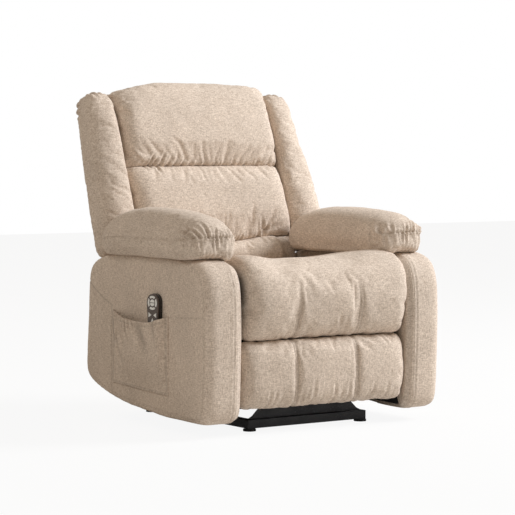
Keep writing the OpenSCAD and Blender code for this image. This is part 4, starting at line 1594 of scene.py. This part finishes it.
@dataclass
class SidePocket:
    """The cloth pocket on the left arm: a sheet with a hem that stands out round the handset.

    Attributes:
        room: How far it stands out round the handset.
        outer: The arm's outer face, from the middle plane.
    """

    front: float = -216.0
    back: float = 100.0
    cloth: float = 2.5
    room: float = 26.5
    outer: float = 422.6
    columns: int = 105
    rows: int = 70

    def swell(self, y: Array, f: Array) -> Array:
        """Gives how far the sheet stands out, at places along the arm and shares of its height."""
        return self.room * ease((y - self.front) / 24.0) * ease((self.back - y) / 125.0) * ease(f * 1.9)

    @staticmethod
    def mouth(y: Array | float) -> Array:
        """Gives the height of the pocket's mouth along the arm."""
        return 318.0 + (y + 125.0) ** 2 * np.where(y < -125.0, 0.0025, 0.00044)

    def sewn(self) -> tuple[list[Crease], list[Crease]]:
        """Gives the folds with painted shade in their valleys, and the hem with the seams at the edges."""
        # dark 0.55 paints shade into each fold's valley
        folds = [Crease(((a, top), (b, foot)), 1.7 * depth, width, END, 0.9, 0.55)
                 for a, top, b, foot, depth, width in (
            (92, 340, 62, 262, 5.0, 6.0), (70, 338, 44, 226, 6.0, 7.0), (48, 333, 20, 240, 5.6, 6.0),
            (28, 329, -2, 222, 6.2, 7.0), (6, 326, -20, 252, 5.4, 5.5), (-16, 324, -36, 236, 5.6, 6.0),
            (-38, 321, -54, 268, 4.6, 5.0), (-60, 320, -70, 280, 3.4, 4.5), (96, 310, 74, 186, 5.0, 9.0),
            (70, 262, 6, 166, 4.0, 11.0), (-90, 300, -150, 200, 2.4, 16.0), (-170, 318, -182, 250, 2.0, 8.0))]
        folds += gathers((-70, 320), (100, 348), (-0.15, -1), 16, 22.0, 1.8, 3.2, 31)
        hem = tuple((float(y), float(self.mouth(y)) - 12.0) for y in np.linspace(self.front, self.back, 24))
        ahead, behind = self.front + 5, self.back - 5
        edges = ((ahead, 340), (ahead, 113), (behind, 125), (behind, 345))
        return folds, creases(((hem, 0.7, 2.2, NONE, 0.4, 0.35), (edges, 0.8, 2.2, NONE, 0.4, 0.5)))

    def faces(self) -> list[list[int]]:
        """Gives the faces of both sides of the sheet and of its rim."""
        n, m = self.columns, self.rows
        size = (n + 1) * (m + 1)
        index = np.arange(size).reshape(n + 1, m + 1).tolist()
        made = []
        for i in range(n):
            for j in range(m):
                a, b, c, d = index[i][j], index[i + 1][j], index[i + 1][j + 1], index[i][j + 1]
                made += [[a, b, c, d], [a + size, d + size, c + size, b + size]]
        rim = ([index[i][0] for i in range(n)] + [index[n][j] for j in range(m)]
               + [index[i][m] for i in range(n, 0, -1)] + [index[0][j] for j in range(m, 0, -1)])
        return made + [[a, a + size, b + size, b] for a, b in zip(rim, rim[1:] + rim[:1])]

    def build(self, shop: Shop) -> Piece:
        """Makes, dresses and places the pocket.

        Args:
            shop: The finishes.

        Returns:
            The finished piece.
        """
        y, f = np.meshgrid(np.linspace(self.front, self.back, self.columns + 1),
                           np.linspace(0.0, 1.0, self.rows + 1), indexing="ij")
        low = 116.0 + 0.04 * y
        flat = np.stack((y.ravel(), (low + (self.mouth(y) - low) * f).ravel()), axis=1)
        folds, seams = self.sewn()
        move, seam = add_up(folds, flat)
        # painted highlight: the folds' ridges are lightened through the seam layer
        seam -= 0.28 * ease(move / 3.0)
        for line in seams:
            out, shade = line.press(flat)
            move += out
            seam = np.maximum(seam, shade)
        away = self.swell(y, f).ravel()
        loose = ease(away / 4.0)
        move = np.maximum(-0.6 * away, move * loose) + 1.0 * wave_noise(flat, 60.0, 12) * loose
        face = -(self.outer + 0.3)
        inner = np.stack((-(self.outer + 0.3 + away + np.minimum(move, 6.0)), flat[:, 0], flat[:, 1]), axis=1)
        outer = inner + np.array([-self.cloth, 0.0, 0.0])
        inner[:, 0] = np.minimum(inner[:, 0], face)
        piece = make_mesh("side_pocket_cloth", np.vstack((inner, outer)), self.faces())
        recalc(piece)
        write_layer(piece, "seam", np.concatenate((seam, seam)))
        select_only(piece)
        bpy.ops.object.shade_smooth()
        shop.dress(piece, "chenille")
        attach(piece, "chassis")
        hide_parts("side_pocket")
        LOG.info("%s: %d faces", piece.name, len(piece.data.polygons))
        return piece


@dataclass
class SteelAndTimber:
    """The carried-over CAD nodes, dressed by the slot that the record gives each."""

    def build(self, shop: Shop) -> None:
        """Dresses every CAD node.

        Args:
            shop: The finishes.
        """
        for part in frame["record"]["subparts"]:
            shop.dress(frame["nodes"][part["node"]], part["material_slot"])


# ------------------------------------------------------------------ studio


@dataclass
class Studio:
    """Camera, floor and lights.

    Attributes:
        eye: Place of the camera, in metres.
        azimuth: How far it looks to the right of the Y axis, in degrees.
        pitch: How far it looks down, in degrees.
        lens: Its focal length, in millimetres.
        aim: What the lamps point at, in metres.
    """

    eye: Point = (-3.6535, -5.4251, 0.8423)
    azimuth: float = 34.301
    pitch: float = 3.0905
    lens: float = 148.19
    aim: Point = (0.0, 0.0, 0.5)

    @staticmethod
    def point(name: str, data: bpy.types.ID, at: Point, way: Vector) -> Piece:
        """Places a camera or a lamp.

        Args:
            name: Its name.
            data: What it is.
            at: Its place in metres.
            way: Where it points.

        Returns:
            The new object, in the scene.
        """
        piece = bpy.data.objects.new(name, data)
        piece.location = at
        piece.rotation_euler = way.to_track_quat("-Z", "Y").to_euler()
        bpy.context.scene.collection.objects.link(piece)
        return piece

    def camera(self) -> None:
        """Places the camera."""
        data = bpy.data.cameras.new("camera")
        data.sensor_width, data.lens = 36.0, self.lens
        data.clip_end = 60.0
        a, p = math.radians(self.azimuth), math.radians(self.pitch)
        way = Vector((math.sin(a) * math.cos(p), math.cos(a) * math.cos(p), -math.sin(p)))
        bpy.context.scene.camera = self.point("camera", data, self.eye, way)

    def lamp(self, name: str, at: Point, power: float, size: float, colour: Point) -> None:
        """Adds a soft square lamp that points at the chair.

        Args:
            name: Name of the lamp.
            at: Its place in metres.
            power: Its power in watts.
            size: Its side in metres.
            colour: Its colour.
        """
        data = bpy.data.lights.new(name, "AREA")
        data.energy, data.size, data.color = power, size, colour
        self.point(name, data, at, Vector(self.aim) - Vector(at))

    def world(self, strength: float) -> None:
        """Lights the room evenly and shows white behind the chair.

        Args:
            strength: Strength of the even light.
        """
        world = bpy.data.worlds.new("studio")
        world.use_nodes = True
        nodes, links = world.node_tree.nodes, world.node_tree.links
        nodes.clear()
        path = nodes.new("ShaderNodeLightPath")
        soft, white = nodes.new("ShaderNodeBackground"), nodes.new("ShaderNodeBackground")
        soft.inputs["Color"].default_value = (1.11, 1.0, 0.87, 1.0)
        soft.inputs["Strength"].default_value = strength
        white.inputs["Color"].default_value = (1.0, 1.0, 1.0, 1.0)
        add = nodes.new("ShaderNodeMath")
        add.operation = "MAXIMUM"
        links.new(path.outputs["Is Camera Ray"], add.inputs[0])
        links.new(path.outputs["Is Glossy Ray"], add.inputs[1])
        mix, out = nodes.new("ShaderNodeMixShader"), nodes.new("ShaderNodeOutputWorld")
        links.new(add.outputs[0], mix.inputs["Fac"])
        links.new(soft.outputs[0], mix.inputs[1])
        links.new(white.outputs[0], mix.inputs[2])
        links.new(mix.outputs[0], out.inputs["Surface"])
        bpy.context.scene.world = world

    def floor(self) -> None:
        """Adds the pale floor, which keeps a soft shadow."""
        select_only(bpy.context.scene.camera)
        bpy.ops.object.select_all(action="DESELECT")
        bpy.ops.mesh.primitive_plane_add(size=24.0, location=(0.0, 0.0, -0.0005))
        floor = bpy.context.object
        bpy.ops.object.transform_apply(location=True, rotation=True, scale=True)
        floor.name = "studio_floor"
        t = Tree("floor_finish")
        path, glow, diffuse = t.add("LightPath", {}), t.add("Emission", {}), t.add("BsdfDiffuse", {})
        t.link(t.blend(t.noise((3.0, 3.0, 3.0)), (0.74, 0.72, 0.69), (0.77, 0.75, 0.72)),
               diffuse.inputs["Color"])
        mix = t.add("MixShader", {1: diffuse.outputs[0], 2: glow.outputs[0]})
        t.link(t.math("MULTIPLY", path.outputs["Is Camera Ray"], FLOOR_GLOW), mix.inputs["Fac"])
        t.link(mix.outputs[0], t.nodes["Material Output"].inputs["Surface"])
        floor.data.materials.append(t.material)

    def build(self) -> None:
        """Sets up the whole studio."""
        bpy.context.scene.view_settings.view_transform = "Standard"
        self.camera()
        self.floor()
        self.lamp("key_lamp", (4.2, -2.0, 3.6), 350.0, 2.2, (0.96, 1.0, 1.05))
        self.lamp("fill_lamp", (-3.3, -0.2, 3.8), 27.0, 1.4, (1.0, 0.97, 0.92))
        self.world(0.31)
        LOG.info("studio ready")


def main() -> None:
    """Builds the whole chair and its studio."""
    logging.basicConfig(level=logging.INFO, format="%(message)s")
    shop = Shop()
    Studio().build()
    SteelAndTimber().build(shop)
    for kind in (SeatCushion, FootrestPad, Headrest, Lumbar, LowerBack, BackPanel, RearPanel):
        kind().build(shop)
    for side, word in ((-1.0, "left"), (1.0, "right")):
        Wing(f"wing_{word}", side=side, wider=4.5 - 0.5 * side, lower=3.0 + 9.0 * side).build(shop)
        Arm(f"arm_{word}", side=side).build(shop)
        FrameFacing(side, word).build(shop)
        ArmPillow(f"arm_pillow_{word}", side=side, mid=343.0 - 15.0 * side, reach=92.5 - 1.5 * side,
                  shorter=15.0 - side, tall=0.965 - 0.035 * side).build(shop)
    SidePocket().build(shop)


if __name__ == "__main__":
    main()
